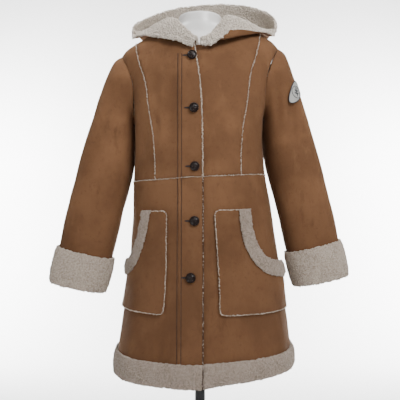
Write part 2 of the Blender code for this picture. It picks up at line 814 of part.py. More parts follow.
def sleeve_point(side, ring, around, out=0.0):
    """A point of a sleeve, out of its outer face: around 0 is its outer line, 90 its front."""
    row = smooth_row(SLEEVE, ring)
    if ring > SLEEVE[-1].ring:  # past the last row the sleeve runs on straight
        before = smooth_row(SLEEVE, SLEEVE[-1].ring - 1)
        past = ring - SLEEVE[-1].ring
        row = SleeveRing(*[b + (b - a) * past for a, b in zip(before, row)])
    draw = SLEEVE_DRAW[side] * ramp(ring, 0, 3)
    outer = Vector((side * (row.outer_x + draw), row.middle_y, row.outer_z))
    tucked = swell(ring, TUCK_RING, TUCK_HALF_RINGS) * ramp(ring, -1.2, 1.6)
    inner_x = row.inner_x + draw * 0.5 * ramp(ring, 5, 9) - TUCK_IN[side] * tucked
    inner = Vector((side * inner_x, row.middle_y, row.inner_z))
    middle, half = (outer + inner) / 2, (outer - inner) / 2
    out += sleeve_fold(ring, around)
    power = 2 / SQUARENESS
    cosine, sine = math.cos(math.radians(around)), math.sin(math.radians(around))
    along = half.normalized() * (half.length + out) * math.copysign(abs(cosine) ** power, cosine)
    across = -(row.half_depth + out) * math.copysign(abs(sine) ** power, sine)
    back = TUCK_BACK * tucked * max(-cosine, 0) ** 2
    return middle + along + Vector((0, across + back, SLEEVE_LIFT[side]))


def sewn_sleeve_point(side, ring, around, out=0.0):
    """A point of a sleeve whose first rings are eased on to the armhole."""
    point = sleeve_point(side, ring, around, out)
    if ring >= ARMHOLE_BLEND:
        return point
    seam = cloth_point(armhole(side, around, smaller=SEAM_GAP), 0)
    ease = (1 - ring / ARMHOLE_BLEND) ** 2
    return point + (seam - sleeve_point(side, 0, around)) * ease


def tube_rows(side, rings, outs):
    """Rows of points round a sleeve, one for each ring, each out of the sleeve's face."""
    arounds = range(0, 360, ARMHOLE_STEP)
    return [[sewn_sleeve_point(side, ring, a, out) for a in arounds] for ring, out in zip(rings, outs)]


def add_sleeve(side, name):
    """A sleeve, an open tube from the armhole to the wrist."""
    outer = tube_rows(side, SLEEVE_RINGS, [0] * len(SLEEVE_RINGS))
    inner = tube_rows(side, SLEEVE_RINGS, [-CLOTH] * len(SLEEVE_RINGS))
    cloth_wall(name, outer, inner, SUEDE, round_about=True)


def add_cuff(side, name):
    """A turned-back cuff of wool round the end of a sleeve."""
    inner = tube_rows(side, CUFF_RINGS, [LAID_GAP] * len(CUFF_RINGS))
    outer = tube_rows(side, CUFF_RINGS, [LAID_GAP + PILE * s for s in CUFF_SHARES])
    cloth_wall(name, outer, inner, WOOL, round_about=True)


def add_badge(side, name):
    """An oval cloth badge sewn on a sleeve, made from the sleeve's own points."""
    count = 6
    faces = []
    for out in (LAID_GAP, LAID_GAP + BADGE_THICKNESS):
        rows = []
        for v in steps(count):
            row = []
            for u in steps(count):
                a, b = 2 * u - 1, 2 * v - 1
                disc_a, disc_b = a * math.sqrt(1 - b * b / 2), b * math.sqrt(1 - a * a / 2)
                ring = BADGE_RING + BADGE_HALF_RINGS * disc_b
                row.append(sleeve_point(side, ring, BADGE_AROUND + BADGE_HALF_AROUND * disc_a, out))
            rows.append(row)
        faces.append(rows)
    cloth_wall(name, faces[1], faces[0], BADGE_CLOTH)


# ---------------------------------------------------------------- hood


def bezier(a, b, c, d, t):
    """A point on the curve from a to d with handles b and c."""
    return a * (1 - t) ** 3 + b * 3 * t * (1 - t) ** 2 + c * 3 * t * t * (1 - t) + d * t**3


def hood_point(around, share):
    """A point of the hood's suede face, from the neckline at share 0 to the rim at share 1."""
    rib = smooth_row(HOOD, around)
    place = neckline(around)
    root = cloth_point(place, HOOD_SEAM_RISE + lap_under_hood(place))
    rim = Vector((rib.rim_x, rib.rim_y, rib.rim_z))
    away = Vector((rim.x - root.x, rim.y - root.y, 0)).normalized()
    up = Vector((0, 0, 1))
    point = bezier(
        root,
        root + away * rib.root_out + up * rib.root_rise,
        rim + away * rib.rim_out + up * rib.rim_rise,
        rim,
        share,
    )
    clearance = HOOD_SEAM_RISE + (HOOD_CLEARANCE - HOOD_SEAM_RISE) * ramp(share, 0, 0.15)
    softness = HOOD_SOFTNESS * max(ramp(share, 0.05, 0.35), 0.01)
    return clear_of_coat(point, clearance, softness)


def lap_under_hood(place):
    """How far the lapping front raises the coat under a place of the hood."""
    return lap(place) if place.x < lap_edge(place.z) + 0.006 else 0.0


def clear_of_coat(point, clearance, softness):
    """The point, moved out of the coat's shoulders or back, and a little less from just clear of them."""
    level = point - (tilted(point) - point)
    slope = slope_of(level)
    distance = outside(level) / slope.length
    normal = slope.normalized()
    short = clearance + body_fold(angle_of(level), level.z) + lap_under_hood(level) - distance
    push = short if short > softness else max(short + softness, 0) ** 2 / (4 * softness)
    return point + normal * push


def hood_normal(around, share):
    """The direction from the hood's suede face to its wool face."""
    tiny = 0.01
    low, high = max(share - tiny, 0), min(share + tiny, 1)
    up_the_rib = hood_point(around, high) - hood_point(around, low)
    to_the_next = hood_point(around + 1, share) - hood_point(around - 1, share)
    return up_the_rib.cross(to_the_next).normalized()


def hood_thickness(share):
    """The hood's thickness, less towards the rim, where it bends most."""
    return HOOD_CLOTH - 0.0034 * ramp(share, 0.5, 0.85)


def add_hood_panel(name, start, end, columns):
    """One of the hood's three panels, between two of its seams."""
    rows = HOOD_ROWS
    grid = [[(start + (end - start) * u, v) for u in steps(columns)] for v in steps(rows)]
    suede = drawn_in([[hood_point(a, v) for a, v in row] for row in grid])
    towards = [[hood_normal(a, v) * hood_thickness(v) for a, v in row] for row in grid]
    wool = [[p + n for p, n in zip(row, normals)] for row, normals in zip(suede, towards)]
    cloth_wall(name, suede, wool, SUEDE)


# ---------------------------------------------------------------- pockets


def pocket_mouth(side, place):
    """The row of the mouth's table at a place, as slanted as that side's pocket."""
    mouth = smooth_row(POCKET_MOUTH, place)
    sway = POCKET_SWAY[side] * (math.sin(math.pi * place) - (1 - place) / 3)
    return mouth._replace(edge_share=mouth.edge_share + sway, inner_share=mouth.inner_share + sway)


def pocket_place(side, share, z):
    """A place on the skirt, from a pocket's inner edge at share 0 to its outer edge at share 1."""
    start, end = POCKET_ANGLES[side]
    return ring_point(start + (end - start) * share, z)


def add_pocket(side, name):
    """A patch pocket with a scooped mouth towards the side seam."""
    on_top_edge, on_mouth, rows = 2, 8, 7
    top = [(pocket_mouth(side, 0).edge_share * k, POCKET_TOP_Z) for k in steps(on_top_edge)]
    top.insert(1, (POCKET_CORNER_U, POCKET_TOP_Z))
    for k in steps(on_mouth)[1:]:
        mouth = pocket_mouth(side, k)
        top.append((mouth.edge_share, mouth.edge_z))
    low = [0, POCKET_CORNER_U] + steps(len(top) - 3)[1:-1] + [1 - POCKET_CORNER_U, 1]
    places = []
    for v in [0, POCKET_CORNER_V] + steps(rows)[1:-1] + [1 - POCKET_CORNER_V, 1]:
        row = []
        for u, (share, z) in zip(low, top):
            row.append((u + (share - u) * v, POCKET_LOW_Z + (z - POCKET_LOW_Z) * v))
        places.append(row)
    width = 0.27
    for r, c, to_share, to_z in ((0, 0, 1, 1), (0, -1, -1, 1), (-1, 0, 1, -1)):
        share, z = places[r][c]
        places[r][c] = (share + to_share * POCKET_CORNER / width, z + to_z * POCKET_CORNER)
    grid = [[pocket_place(side, share, z) for share, z in row] for row in places]
    panel(name, grid, SUEDE, low=POCKET_GAP, high=POCKET_GAP + CLOTH * 0.9)


def add_pocket_trim(side, name):
    """The band of wool along a pocket's mouth."""
    across, along = 3, 10
    below = POCKET_GAP + CLOTH * 0.9 + BAND_GAP
    shares = (0.45, 1.0, 1.0, 0.5)
    inner, outer = [], []
    for v, share in zip(steps(across), shares):
        row = []
        for u in steps(along):
            mouth = pocket_mouth(side, u)
            place_share = mouth.inner_share + (mouth.edge_share - mouth.inner_share) * v
            place_z = mouth.inner_z + (mouth.edge_z - mouth.inner_z) * v
            row.append(pocket_place(side, place_share, place_z))
        inner.append([cloth_point(p, below) for p in row])
        outer.append([cloth_point(p, below + 0.75 * PILE * share) for p in row])
    cloth_wall(name, outer, inner, WOOL)


# ---------------------------------------------------------------- hard pieces


def turned(name, profile, finish, sides):
    """A round piece: its profile of (radius, height) pairs, listed down its outside, turned about Z."""
    mesh = bpy.data.meshes.new(name)
    points = [(radius, 0, height) for radius, height in profile]
    mesh.from_pydata(points, [(k, k + 1) for k in range(len(points) - 1)], [])
    made = new_object(name, mesh, finish, smooth=False)
    screw = made.modifiers.new("Turn", "SCREW")
    screw.steps = screw.render_steps = sides
    screw.use_merge_vertices = True
    screw.merge_threshold = 0.00005
    screw.use_smooth_shade = True
    return made


def add_buttons():
    """Domed buttons down the lapping front, each square to the cloth under it."""
    profile = [(BUTTON_RADIUS * r, BUTTON_HEIGHT * h) for r, h in BUTTON_PROFILE]
    for number, row in enumerate(BUTTONS, start=1):
        place = ring_point(front_angle(row.x, row.z), row.z)
        normal = slope_of(place).normalized()
        button = turned(f"button_{number}", profile, BUTTON_LEATHER, sides=14)
        button.location = cloth_point(place, lap(place) + LAID_GAP)
        button.rotation_mode = "QUATERNION"
        button.rotation_quaternion = normal.to_track_quat("Z", "Y")


def form_point(place):
    """A point of the form under a place of the coat: close on top of the shoulders only."""
    slack = FORM_SLACK * max(
        ramp(place.y, -0.005, 0.02),
        ramp(abs(place.x), 0.15, 0.17),
        0.4 * (1 - ramp(place.z, 1.315, 1.345)),
    )
    return cloth_point(place, -CLOTH - FORM_FIT - slack)


def form_rings():
    """Rings of the dress form: its own body, then the coat's shoulders, then the neck."""
    arounds = range(0, 360, 18)
    power = 2 / SQUARENESS
    rings = []
    for z in FORM_LOW_HEIGHTS:
        section = smooth_row(FORM_BODY, z)
        ring = []
        for angle in arounds:
            sine, cosine = math.sin(math.radians(angle)), math.cos(math.radians(angle))
            depth = section.front if cosine > 0 else section.back
            x = section.middle_x + section.half_width * math.copysign(abs(sine) ** power, sine)
            ring.append(tilted(Vector((x, -depth * math.copysign(abs(cosine) ** power, cosine), z))))
        rings.append(ring)
    for z in FORM_FIT_HEIGHTS:
        rings.append([form_point(ring_point(a, z)) for a in arounds])
    turns = [math.radians(a) for a in arounds]
    for z, radius in NECK_RINGS:
        rings.append([Vector((radius * math.sin(t), NECK_Y - radius * math.cos(t), z)) for t in turns])
    return rings


def add_dress_form():
    """The limbless form, its pole and its round base."""
    shape = bmesh.new()
    grid = loft(shape, form_rings(), round_about=True)
    shape.faces.new(grid[0])
    shape.faces.new(grid[-1])
    new_object("form_torso", mesh_from("form_torso", shape), WHITE_SHELL)

    edge = 0.002
    base = (
        (0, BASE_HEIGHT),
        (BASE_RADIUS - edge, BASE_HEIGHT),
        (BASE_RADIUS, BASE_HEIGHT - edge),
        (BASE_RADIUS, 0),
        (0, 0),
    )
    turned("form_base", base, BLACK_STEEL, sides=40)
    pole_low, pole_high = BASE_HEIGHT + SEAM_GAP, FORM_FOOT_Z - SEAM_GAP
    bpy.ops.mesh.primitive_cylinder_add(
        vertices=20,
        radius=POLE_RADIUS,
        depth=pole_high - pole_low,
        location=(0, 0, (pole_low + pole_high) / 2),
    )
    pole = bpy.context.object
    pole.name = pole.data.name = "form_pole"
    for collection in list(pole.users_collection):
        collection.objects.unlink(pole)
    bpy.data.collections["Shearling coat"].objects.link(pole)
    pole.data.materials.append(material_of(BLACK_STEEL))


# ---------------------------------------------------------------- the whole


def add_coat():
    """Every piece of cloth, in the order that a maker would sew them."""
    hem = HEM_Z
    skirt_heights = [hem, hem + 0.018, hem + 0.035, TRIM_TOP_Z + 0.001]
    rise = WAIST_Z - skirt_heights[-1]
    skirt_heights += [skirt_heights[-1] + rise * k for k in steps(8)[1:]]
    trim_heights = [hem - 0.0015, hem + 0.018, hem + 0.035, TRIM_TOP_Z]
    trim_shares = (0.75, 1.0, 1.0, 0.55)
    left_lines = (skirt_start(1), skirt_front_at(lap_edge, 0.0015), skirt_front_at(under_edge))
    right_lines = (skirt_start(-1), *[skirt_front_at(x) for x in (lap_start, lap_full, lap_edge)])
    back_lines = (skirt_start(1), skirt_back_end)

    panel("bodice_side_front_left", drawn_in(bodice_side_front(1)), SUEDE)
    panel("bodice_side_front_right", drawn_in(bodice_side_front(-1)), SUEDE)
    panel("bodice_centre_front_left", drawn_in(bodice_centre_front(1)), SUEDE)
    panel("bodice_centre_front_right", drawn_in(bodice_centre_front(-1)), SUEDE, lap)
    panel("bodice_back", drawn_in(bodice_back()), SUEDE)

    panel("skirt_front_left", drawn_in(skirt_rows(skirt_heights, left_lines, (10, 2))), SUEDE)
    panel("skirt_front_right", drawn_in(skirt_rows(skirt_heights, right_lines, (9, 1, 2))), SUEDE, lap)
    panel("skirt_back", drawn_in(skirt_rows(skirt_heights, back_lines, (18,))), SUEDE)

    left_band = skirt_rows(trim_heights, left_lines[:2], (10,))
    right_band = skirt_rows(trim_heights, right_lines, (9, 1, 2))
    back_band = skirt_rows(trim_heights, back_lines, (18,))
    pile_band("hem_band_front_left", drawn_in(left_band), trim_shares)
    pile_band("hem_band_front_right", drawn_in(right_band), trim_shares, lap)
    pile_band("hem_band_back", drawn_in(back_band), trim_shares)

    for side, word in ((1, "left"), (-1, "right")):
        add_pocket(side, f"pocket_{word}")
        add_pocket_trim(side, f"pocket_band_{word}")
        add_sleeve(side, f"sleeve_{word}")
        add_cuff(side, f"cuff_{word}")

    names = ("hood_side_left", "hood_centre", "hood_side_right")
    for name, start, end, columns in zip(names, HOOD_SEAMS, HOOD_SEAMS[1:], HOOD_COLUMNS):
        add_hood_panel(name, start, end, columns)
    add_badge(1, "sleeve_badge")
    add_buttons()


def main():
    """Clears the scene and builds the coat on its form."""
    for old in list(bpy.data.objects):
        bpy.data.objects.remove(old, do_unlink=True)
    collection = bpy.data.collections.new("Shearling coat")
    bpy.context.scene.collection.children.link(collection)
    add_coat()
    add_dress_form()


main()
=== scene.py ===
"""Looks of a hooded shearling jacket on a limbless dress form.

Every cloth piece is cut from the frame's own solid, refined, creased and given its pile.
Sizes are metres, +Z is up, the jacket's front faces -Y and the wearer's left is +X.
"""

import logging
import math
from dataclasses import dataclass, field
from enum import Enum
from typing import Callable, Iterable, Sequence

import bmesh
import bpy
import numpy as np
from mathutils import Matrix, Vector
from mathutils.bvhtree import BVHTree
from mathutils.kdtree import KDTree

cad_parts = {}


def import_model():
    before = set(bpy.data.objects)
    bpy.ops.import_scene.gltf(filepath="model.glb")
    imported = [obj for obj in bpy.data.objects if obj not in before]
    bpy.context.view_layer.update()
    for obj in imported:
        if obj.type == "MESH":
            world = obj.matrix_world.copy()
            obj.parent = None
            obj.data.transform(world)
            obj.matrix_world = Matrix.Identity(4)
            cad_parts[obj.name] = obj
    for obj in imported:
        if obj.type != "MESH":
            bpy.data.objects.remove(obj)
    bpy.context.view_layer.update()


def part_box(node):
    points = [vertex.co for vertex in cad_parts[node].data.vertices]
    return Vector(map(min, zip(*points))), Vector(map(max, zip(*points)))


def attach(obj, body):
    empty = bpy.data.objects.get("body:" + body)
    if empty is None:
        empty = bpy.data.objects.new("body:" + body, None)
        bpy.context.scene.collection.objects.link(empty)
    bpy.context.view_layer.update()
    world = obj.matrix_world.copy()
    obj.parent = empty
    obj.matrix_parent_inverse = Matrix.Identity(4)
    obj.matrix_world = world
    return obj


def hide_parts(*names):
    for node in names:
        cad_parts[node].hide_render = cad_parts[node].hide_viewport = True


LOG = logging.getLogger("shearling_jacket")
BODY = "root"
UP = Vector((0, 0, 1))
WELD = 0.00002
SHARP = math.radians(50)
FLAT_ENOUGH = math.radians(40)
SQUARE_ENOUGH = math.radians(60)
OUT_SHARE = 0.5  # how much facing out counts against facing down on the hood
OUTER, INNER, EDGES = range(3)  # the material numbers of a cloth wall

Colour = tuple[float, float, float]
Mesh = bpy.types.Mesh
Socket = bpy.types.NodeSocket


class Facing(Enum):
    """Which way the suede side of a cloth wall is told from its wool side."""

    AWAY_FROM_HEART = "away"
    LARGER = "larger"
    OUT_AND_DOWN = "down"


class View(Enum):
    """The side of the jacket that a crease is placed on."""

    FRONT = -1
    BACK = 1


# ---------------------------------------------------------------- node trees


class NodeWork:
    """Lays nodes into one tree."""

    def __init__(self, tree: bpy.types.NodeTree) -> None:
        """Keeps the tree."""
        self.tree = tree

    def add(self, kind: str, inputs: dict | None = None, **settings) -> bpy.types.Node:
        """Adds a node.

        Args:
            kind: The node's type.
            inputs: Socket names or numbers, each with a value or a socket to link from.
            **settings: The node's own properties.

        Returns:
            The node.
        """
        node = self.tree.nodes.new(kind)
        for name, value in settings.items():
            setattr(node, name, value)
        for key, value in (inputs or {}).items():
            if isinstance(value, Socket):
                self.tree.links.new(value, node.inputs[key])
            else:
                node.inputs[key].default_value = value
        return node

    def math(self, operation: str, *values) -> Socket:
        """The result of a Math node on numbers or sockets."""
        return self.add("ShaderNodeMath", dict(enumerate(values)), operation=operation).outputs[0]


class ShaderWork(NodeWork):
    """Builds a material round one Principled shader."""

    def __init__(self, name: str) -> None:
        """Starts a material."""
        self.material = bpy.data.materials.new(name)
        self.material.use_nodes = True
        super().__init__(self.material.node_tree)
        self.shader = self.tree.nodes["Principled BSDF"]
        self.coords = self.add("ShaderNodeTexCoord").outputs["Object"]

    def noise(
        self, scale: float, detail: float = 3, roughness: float = 0.55, coords: Socket | None = None
    ) -> Socket:
        """The value of a noise texture.

        Args:
            scale: Its waves to the metre.
            detail: Its octaves.
            roughness: How much each octave keeps.
            coords: Where it is read, or None for Object coordinates.

        Returns:
            The value, about 0.3 to 0.7.
        """
        place = coords or self.coords
        inputs = {"Vector": place, "Scale": scale, "Detail": detail, "Roughness": roughness}
        return self.add("ShaderNodeTexNoise", inputs).outputs[0]

    def spread(self, value: Socket, low: float, high: float, to: tuple[float, float] = (0, 1)) -> Socket:
        """A value's range from low to high, mapped smoothly to another."""
        inputs = {0: value, 1: low, 2: high, 3: to[0], 4: to[1]}
        return self.add("ShaderNodeMapRange", inputs, interpolation_type="SMOOTHSTEP").outputs[0]

    def mix(self, share: Socket | float, first: Socket | Colour, second: Socket | Colour) -> Socket:
        """Two colours mixed by a share from 0 to 1."""
        first, second = [(*c, 1) if isinstance(c, tuple) else c for c in (first, second)]
        return self.add("ShaderNodeMix", {0: share, 6: first, 7: second}, data_type="RGBA").outputs[2]

    def bump(self, layers: Iterable[tuple[Socket, float, float]]) -> None:
        """Stacks bumps on the shader.

        Args:
            layers: For each bump its height, its distance in metres and its strength.
        """
        normal = None
        for height, distance, strength in layers:
            inputs = {"Height": height, "Distance": distance, "Strength": strength}
            if normal is not None:
                inputs["Normal"] = normal
            normal = self.add("ShaderNodeBump", inputs).outputs[0]
        self.tree.links.new(normal, self.shader.inputs["Normal"])

    def finish(self, colour: Socket, **numbers) -> bpy.types.Material:
        """Ends the material.

        Args:
            colour: The shader's colour.
            **numbers: The shader's plain values.

        Returns:
            The material.
        """
        self.tree.links.new(colour, self.shader.inputs["Base Color"])
        for name, value in numbers.items():
            self.shader.inputs[name.replace("_", " ")].default_value = value
        return self.material


# ---------------------------------------------------------------- finishes


@dataclass(frozen=True)
class SuedeFinish:
    """Brushed tan suede with a mottled nap, darkened towards the hem by painted shade."""

    name: str = "tan suede"
    base: Colour = (0.152, 0.072, 0.0335)
    dark: Colour = (0.070, 0.032, 0.0150)
    light: Colour = (0.222, 0.113, 0.057)
    base_share: float = 0.55
    # The last three set the painted shade: it deepens from the top height down to low_z, up to its share of
    # the dark tone.
    low_z: float = 0.80
    painted_shade_high_z: float = 1.14
    painted_shade_share: float = 0.46

    def material(self) -> bpy.types.Material:
        """Lays the finish's nodes.

        Returns:
            The material.
        """
        work = ShaderWork(self.name)
        patches = work.noise(7, 4, 0.6)
        drawn = work.add("ShaderNodeMapping", {"Vector": work.coords, "Scale": (1.0, 1.0, 0.4)}).outputs[0]
        streaks = work.noise(26, 5, 0.62, drawn)
        crinkle = work.noise(120, 6, 0.68)
        nap = work.noise(1500, 3, 0.7)
        height = work.add("ShaderNodeSeparateXYZ", {0: work.coords}).outputs[2]
        tone = work.mix(work.spread(patches, 0.36, 0.64), self.dark, self.light)
        tone = work.mix(self.base_share, tone, self.base)
        for value, low, high, share, colour in (
            (streaks, 0.58, 0.72, 0.35, self.light),
            (streaks, 0.42, 0.28, 0.45, self.dark),
            # painted shade: darker in the hollows of the crinkle bump
            (crinkle, 0.46, 0.30, 0.40, self.dark),
            (nap, 0.35, 0.65, 0.22, self.light),
            # painted shade: darker towards the hem, as the light falls off downwards
            (height, self.painted_shade_high_z, self.low_z, self.painted_shade_share, self.dark),
        ):
            tone = work.mix(work.spread(value, low, high, (0, share)), tone, colour)
        work.tree.links.new(work.spread(patches, 0.3, 0.7, (0.82, 0.96)), work.shader.inputs["Roughness"])
        work.bump(((streaks, 0.0035, 0.35), (crinkle, 0.0012, 0.35), (nap, 0.0004, 0.5)))
        return work.finish(
            tone, Sheen_Weight=0.10, Sheen_Roughness=0.45, Sheen_Tint=(0.80, 0.52, 0.32, 1),
            Specular_IOR_Level=0.12,
        )


@dataclass(frozen=True)
class WoolFinish:
    """Clipped cream sheep's wool, with painted shade in the hollows between its curls."""

    name: str = "cream wool"
    light: Colour = (0.66, 0.59, 0.51)
    dark: Colour = (0.40, 0.345, 0.285)

    def material(self) -> bpy.types.Material:
        """Lays the finish's nodes.

        Returns:
            The material.
        """
        work = ShaderWork(self.name)
        locks = work.noise(34, 3, 0.6)
        curls = work.noise(230, 4, 0.62)
        fibres = work.noise(1400, 3, 0.7)
        # painted shade: darker where the curl bump sinks
        tone = work.mix(work.spread(curls, 0.34, 0.62), self.dark, self.light)
        tone = work.mix(work.spread(locks, 0.35, 0.7, (0.15, 0.6)), tone, self.light)
        # painted shade: darker where the fibre bump sinks
        tone = work.mix(work.spread(fibres, 0.5, 0.35, (0, 0.35)), tone, self.dark)
        work.bump(((curls, 0.0024, 0.7), (fibres, 0.0006, 0.6)))
        return work.finish(
            tone, Roughness=0.95, Sheen_Weight=0.35, Sheen_Roughness=0.6, Sheen_Tint=(1, 0.96, 0.9, 1),
            Specular_IOR_Level=0.15,
        )


@dataclass(frozen=True)
class PlainFinish:
    """A finish of one colour, with a little unevenness in its tone, gloss and surface."""

    name: str
    colour: Colour
    second: Colour
    roughness: float
    grain: float = 300.0
    relief: float = 0.0003
    metallic: float = 0.0
    coat: float = 0.0
    specular: float = 0.5

    def material(self) -> bpy.types.Material:
        """Lays the finish's nodes.

        Returns:
            The material.
        """
        work = ShaderWork(self.name)
        grain = work.noise(self.grain, 4, 0.6)
        tone = work.mix(work.spread(grain, 0.35, 0.65), self.colour, self.second)
        gloss = (self.roughness * 0.85, self.roughness * 1.15)
        rough = work.spread(work.noise(self.grain / 6, 2), 0.3, 0.7, gloss)
        work.tree.links.new(rough, work.shader.inputs["Roughness"])
        work.bump(((grain, self.relief, 0.5),))
        return work.finish(
            tone, Metallic=self.metallic, Coat_Weight=self.coat, Coat_Roughness=0.15,
            Specular_IOR_Level=self.specular,
        )


Finish = SuedeFinish | WoolFinish | PlainFinish

SUEDE = SuedeFinish()
WOOL = WoolFinish()
# painted shade: darker copies of the cream wool for the hem and pocket bands and the cuffs, which hang lower
# and take less light
SHADED_BAND_WOOL = WoolFinish("band wool darkened by painted shade", (0.350, 0.282, 0.230), (0.172, 0.128, 0.095))
SHADED_CUFF_WOOL = WoolFinish("cuff wool darkened by painted shade", (0.490, 0.415, 0.342), (0.235, 0.182, 0.138))
WELT_WOOL = WoolFinish("matted seam wool", (0.60, 0.50, 0.41), (0.17, 0.11, 0.07))
SEAM_SHADE = PlainFinish("shaded suede edge", (0.026, 0.011, 0.005), (0.046, 0.020, 0.009), 0.95, 700)
BUTTON_LEATHER = PlainFinish(
    "dark woven leather", (0.0060, 0.0026, 0.0020), (0.013, 0.0056, 0.0040), 0.30, 900, 0.0001, specular=0.22
)
SEWING_THREAD = PlainFinish("tan sewing thread", (0.062, 0.028, 0.012), (0.105, 0.050, 0.023), 0.75, 1500)
DARK_THREAD_AND_SLIT_SHADE = PlainFinish("dark thread and painted slit shade", (0.022, 0.022, 0.026), (0.05, 0.05, 0.056), 0.6, 1800)
PALE_THREAD = PlainFinish(
    "pale embroidery thread", (0.30, 0.30, 0.285), (0.42, 0.42, 0.40), 0.65, 1800, 0.0004
)
WHITE_SHELL = PlainFinish(
    "white lacquered shell", (0.80, 0.79, 0.77), (0.82, 0.81, 0.79), 0.30, 40, 0.0001, coat=0.2
)
BLACK_STEEL = PlainFinish(
    "black satin steel", (0.018, 0.018, 0.019), (0.026, 0.026, 0.027), 0.38, 500, 0.00008, metallic=0.7
)
PALE_PAPER = PlainFinish("pale studio paper", (0.86, 0.86, 0.86), (0.87, 0.87, 0.87), 0.85, 60, 0.0001)

FINISHED: dict[str, bpy.types.Material] = {}


def material_of(finish: Finish) -> bpy.types.Material:
    """The material of a finish, built once."""
    if finish.name not in FINISHED:
        FINISHED[finish.name] = finish.material()
    return FINISHED[finish.name]


# ---------------------------------------------------------------- meshes


def placed(name: str, data: bpy.types.ID) -> bpy.types.Object:
    """A new object in the scene."""
    made = bpy.data.objects.new(name, data)
    bpy.context.scene.collection.objects.link(made)
    return made


def baked(holder: bpy.types.Object) -> Mesh:
    """The mesh that an object's modifiers make.

    Args:
        holder: The object, which is used up with its own mesh.

    Returns:
        The mesh.
    """
    base = holder.data
    made = bpy.data.meshes.new_from_object(holder.evaluated_get(bpy.context.evaluated_depsgraph_get()))
    bpy.data.objects.remove(holder)
    bpy.data.meshes.remove(base)
    return made


def new_piece(name: str, mesh: Mesh, slot: str, *replaced: str) -> bpy.types.Object:
    """Shows a mesh as a piece of the object.

    Args:
        name: The piece's name.
        mesh: Its mesh, in place.
        slot: The record's material slot; not used.
        *replaced: The frame's nodes that it stands for.

    Returns:
        The piece, riding on the body.
    """
    made = placed(name, mesh)
    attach(made, BODY)
    if replaced:
        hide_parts(*replaced)
    LOG.info("%s: %d faces", name, len(mesh.polygons))
    return made


def mesh_of(shape: bmesh.types.BMesh, name: str, *materials: bpy.types.Material) -> Mesh:
    """The mesh of a shape.

    Args:
        shape: The shape, which is used up.
        name: The mesh's name.
        *materials: Its materials.

    Returns:
        The mesh.
    """
    made = bpy.data.meshes.new(name)
    shape.to_mesh(made)
    shape.free()
    for material in materials:
        made.materials.append(material)
    return made


def merged_piece(name: str, meshes: Iterable[Mesh], slot: str) -> None:
    """Shows several meshes as one piece.

    Args:
        name: The piece's name.
        meshes: The meshes, which are used up.
        slot: The record's material slot.
    """
    shape = bmesh.new()
    materials: list[bpy.types.Material] = []
    for mesh in meshes:
        start = len(shape.faces)
        shape.from_mesh(mesh)
        shape.faces.ensure_lookup_table()
        materials += [material for material in mesh.materials if material not in materials]
        numbers = [materials.index(material) for material in mesh.materials]
        for face in shape.faces[start:]:
            face.material_index = numbers[face.material_index]
        bpy.data.meshes.remove(mesh)
    new_piece(name, mesh_of(shape, name, *materials), slot)


def part_of(mesh: Mesh, name: str, *numbers: int) -> Mesh:
    """A copy of some faces of a mesh.

    Args:
        mesh: The mesh.
        name: The copy's name.
        *numbers: The material numbers that are kept.

    Returns:
        The copy.
    """
    shape = bmesh.new()
    shape.from_mesh(mesh)
    left = [face for face in shape.faces if face.material_index not in numbers]
    bmesh.ops.delete(shape, geom=left, context="FACES")
    return mesh_of(shape, name, *mesh.materials)


def capped(name: str, rows: Sequence[Sequence[Vector]], first: Vector, last: Vector, finish: Finish) -> Mesh:
    """A closed smooth mesh through rings of points.

    Args:
        name: The mesh's name.
        rows: The rings, all with the same number of points.
        first: The middle of the cap on the first ring.
        last: The middle of the cap on the last ring.
        finish: The mesh's finish.

    Returns:
        The mesh.
    """
    shape = bmesh.new()
    rings = [[shape.verts.new(point) for point in row] for row in rows]
    count = len(rings[0])
    for middle, ring in ((first, rings[0]), (last, rings[-1])):
        tip = shape.verts.new(middle)
        for k in range(count):
            shape.faces.new((tip, ring[k], ring[(k + 1) % count]))
    for low, high in zip(rings, rings[1:]):
        for k in range(count):
            shape.faces.new((low[k], low[(k + 1) % count], high[(k + 1) % count], high[k]))
    bmesh.ops.recalc_face_normals(shape, faces=shape.faces)
    mesh = mesh_of(shape, name, material_of(finish))
    mesh.shade_smooth()
    return mesh


def solid_of(node: str) -> bmesh.types.BMesh:
    """A node's solid, welded, with its triangles joined to quads.

    Args:
        node: The frame's node.

    Returns:
        The shape.
    """
    shape = bmesh.new()
    shape.from_mesh(bpy.data.objects[node].data)
    bmesh.ops.remove_doubles(shape, verts=shape.verts, dist=WELD)
    bmesh.ops.join_triangles(
        shape, faces=shape.faces, angle_face_threshold=FLAT_ENOUGH, angle_shape_threshold=SQUARE_ENOUGH
    )
    return shape


def crease_sharp(shape: bmesh.types.BMesh, strength: float) -> None:
    """Marks a shape's sharp edges, so that they stay when it is divided."""
    layers = shape.edges.layers.float
    layer = layers.get("crease_edge") or layers.new("crease_edge")
    for edge in shape.edges:
        edge[layer] = strength if edge.calc_face_angle(math.pi) > SHARP else 0.0


def divided(name: str, coarse: Mesh, levels: int) -> Mesh:
    """A mesh divided smoothly.

    Args:
        name: The fine mesh's name.
        coarse: The mesh, which is used up.
        levels: How many times it is divided.

    Returns:
        The fine mesh.
    """
    holder = placed(name, coarse)
    modifier = holder.modifiers.new("Divide", "SUBSURF")
    modifier.levels = modifier.render_levels = levels
    fine = baked(holder)
    fine.name = name
    fine.shade_smooth()
    fine.set_sharp_from_angle(angle=SHARP)
    return fine


def positions(mesh: Mesh) -> np.ndarray:
    """The vertices of a mesh, a row each."""
    flat = np.empty(len(mesh.vertices) * 3)
    mesh.vertices.foreach_get("co", flat)
    return flat.reshape(-1, 3)


def shifted(mesh: Mesh, shift: np.ndarray) -> None:
    """Moves each vertex of a mesh."""
    mesh.vertices.foreach_set("co", (positions(mesh) + shift).ravel())
    mesh.update()


def moved_out(mesh: Mesh, heights: np.ndarray | float) -> None:
    """Moves each vertex of a mesh along its normal."""
    flat = np.empty(len(mesh.vertices) * 3)
    mesh.vertex_normals.foreach_get("vector", flat)
    shifted(mesh, flat.reshape(-1, 3) * np.reshape(heights, (-1, 1)))


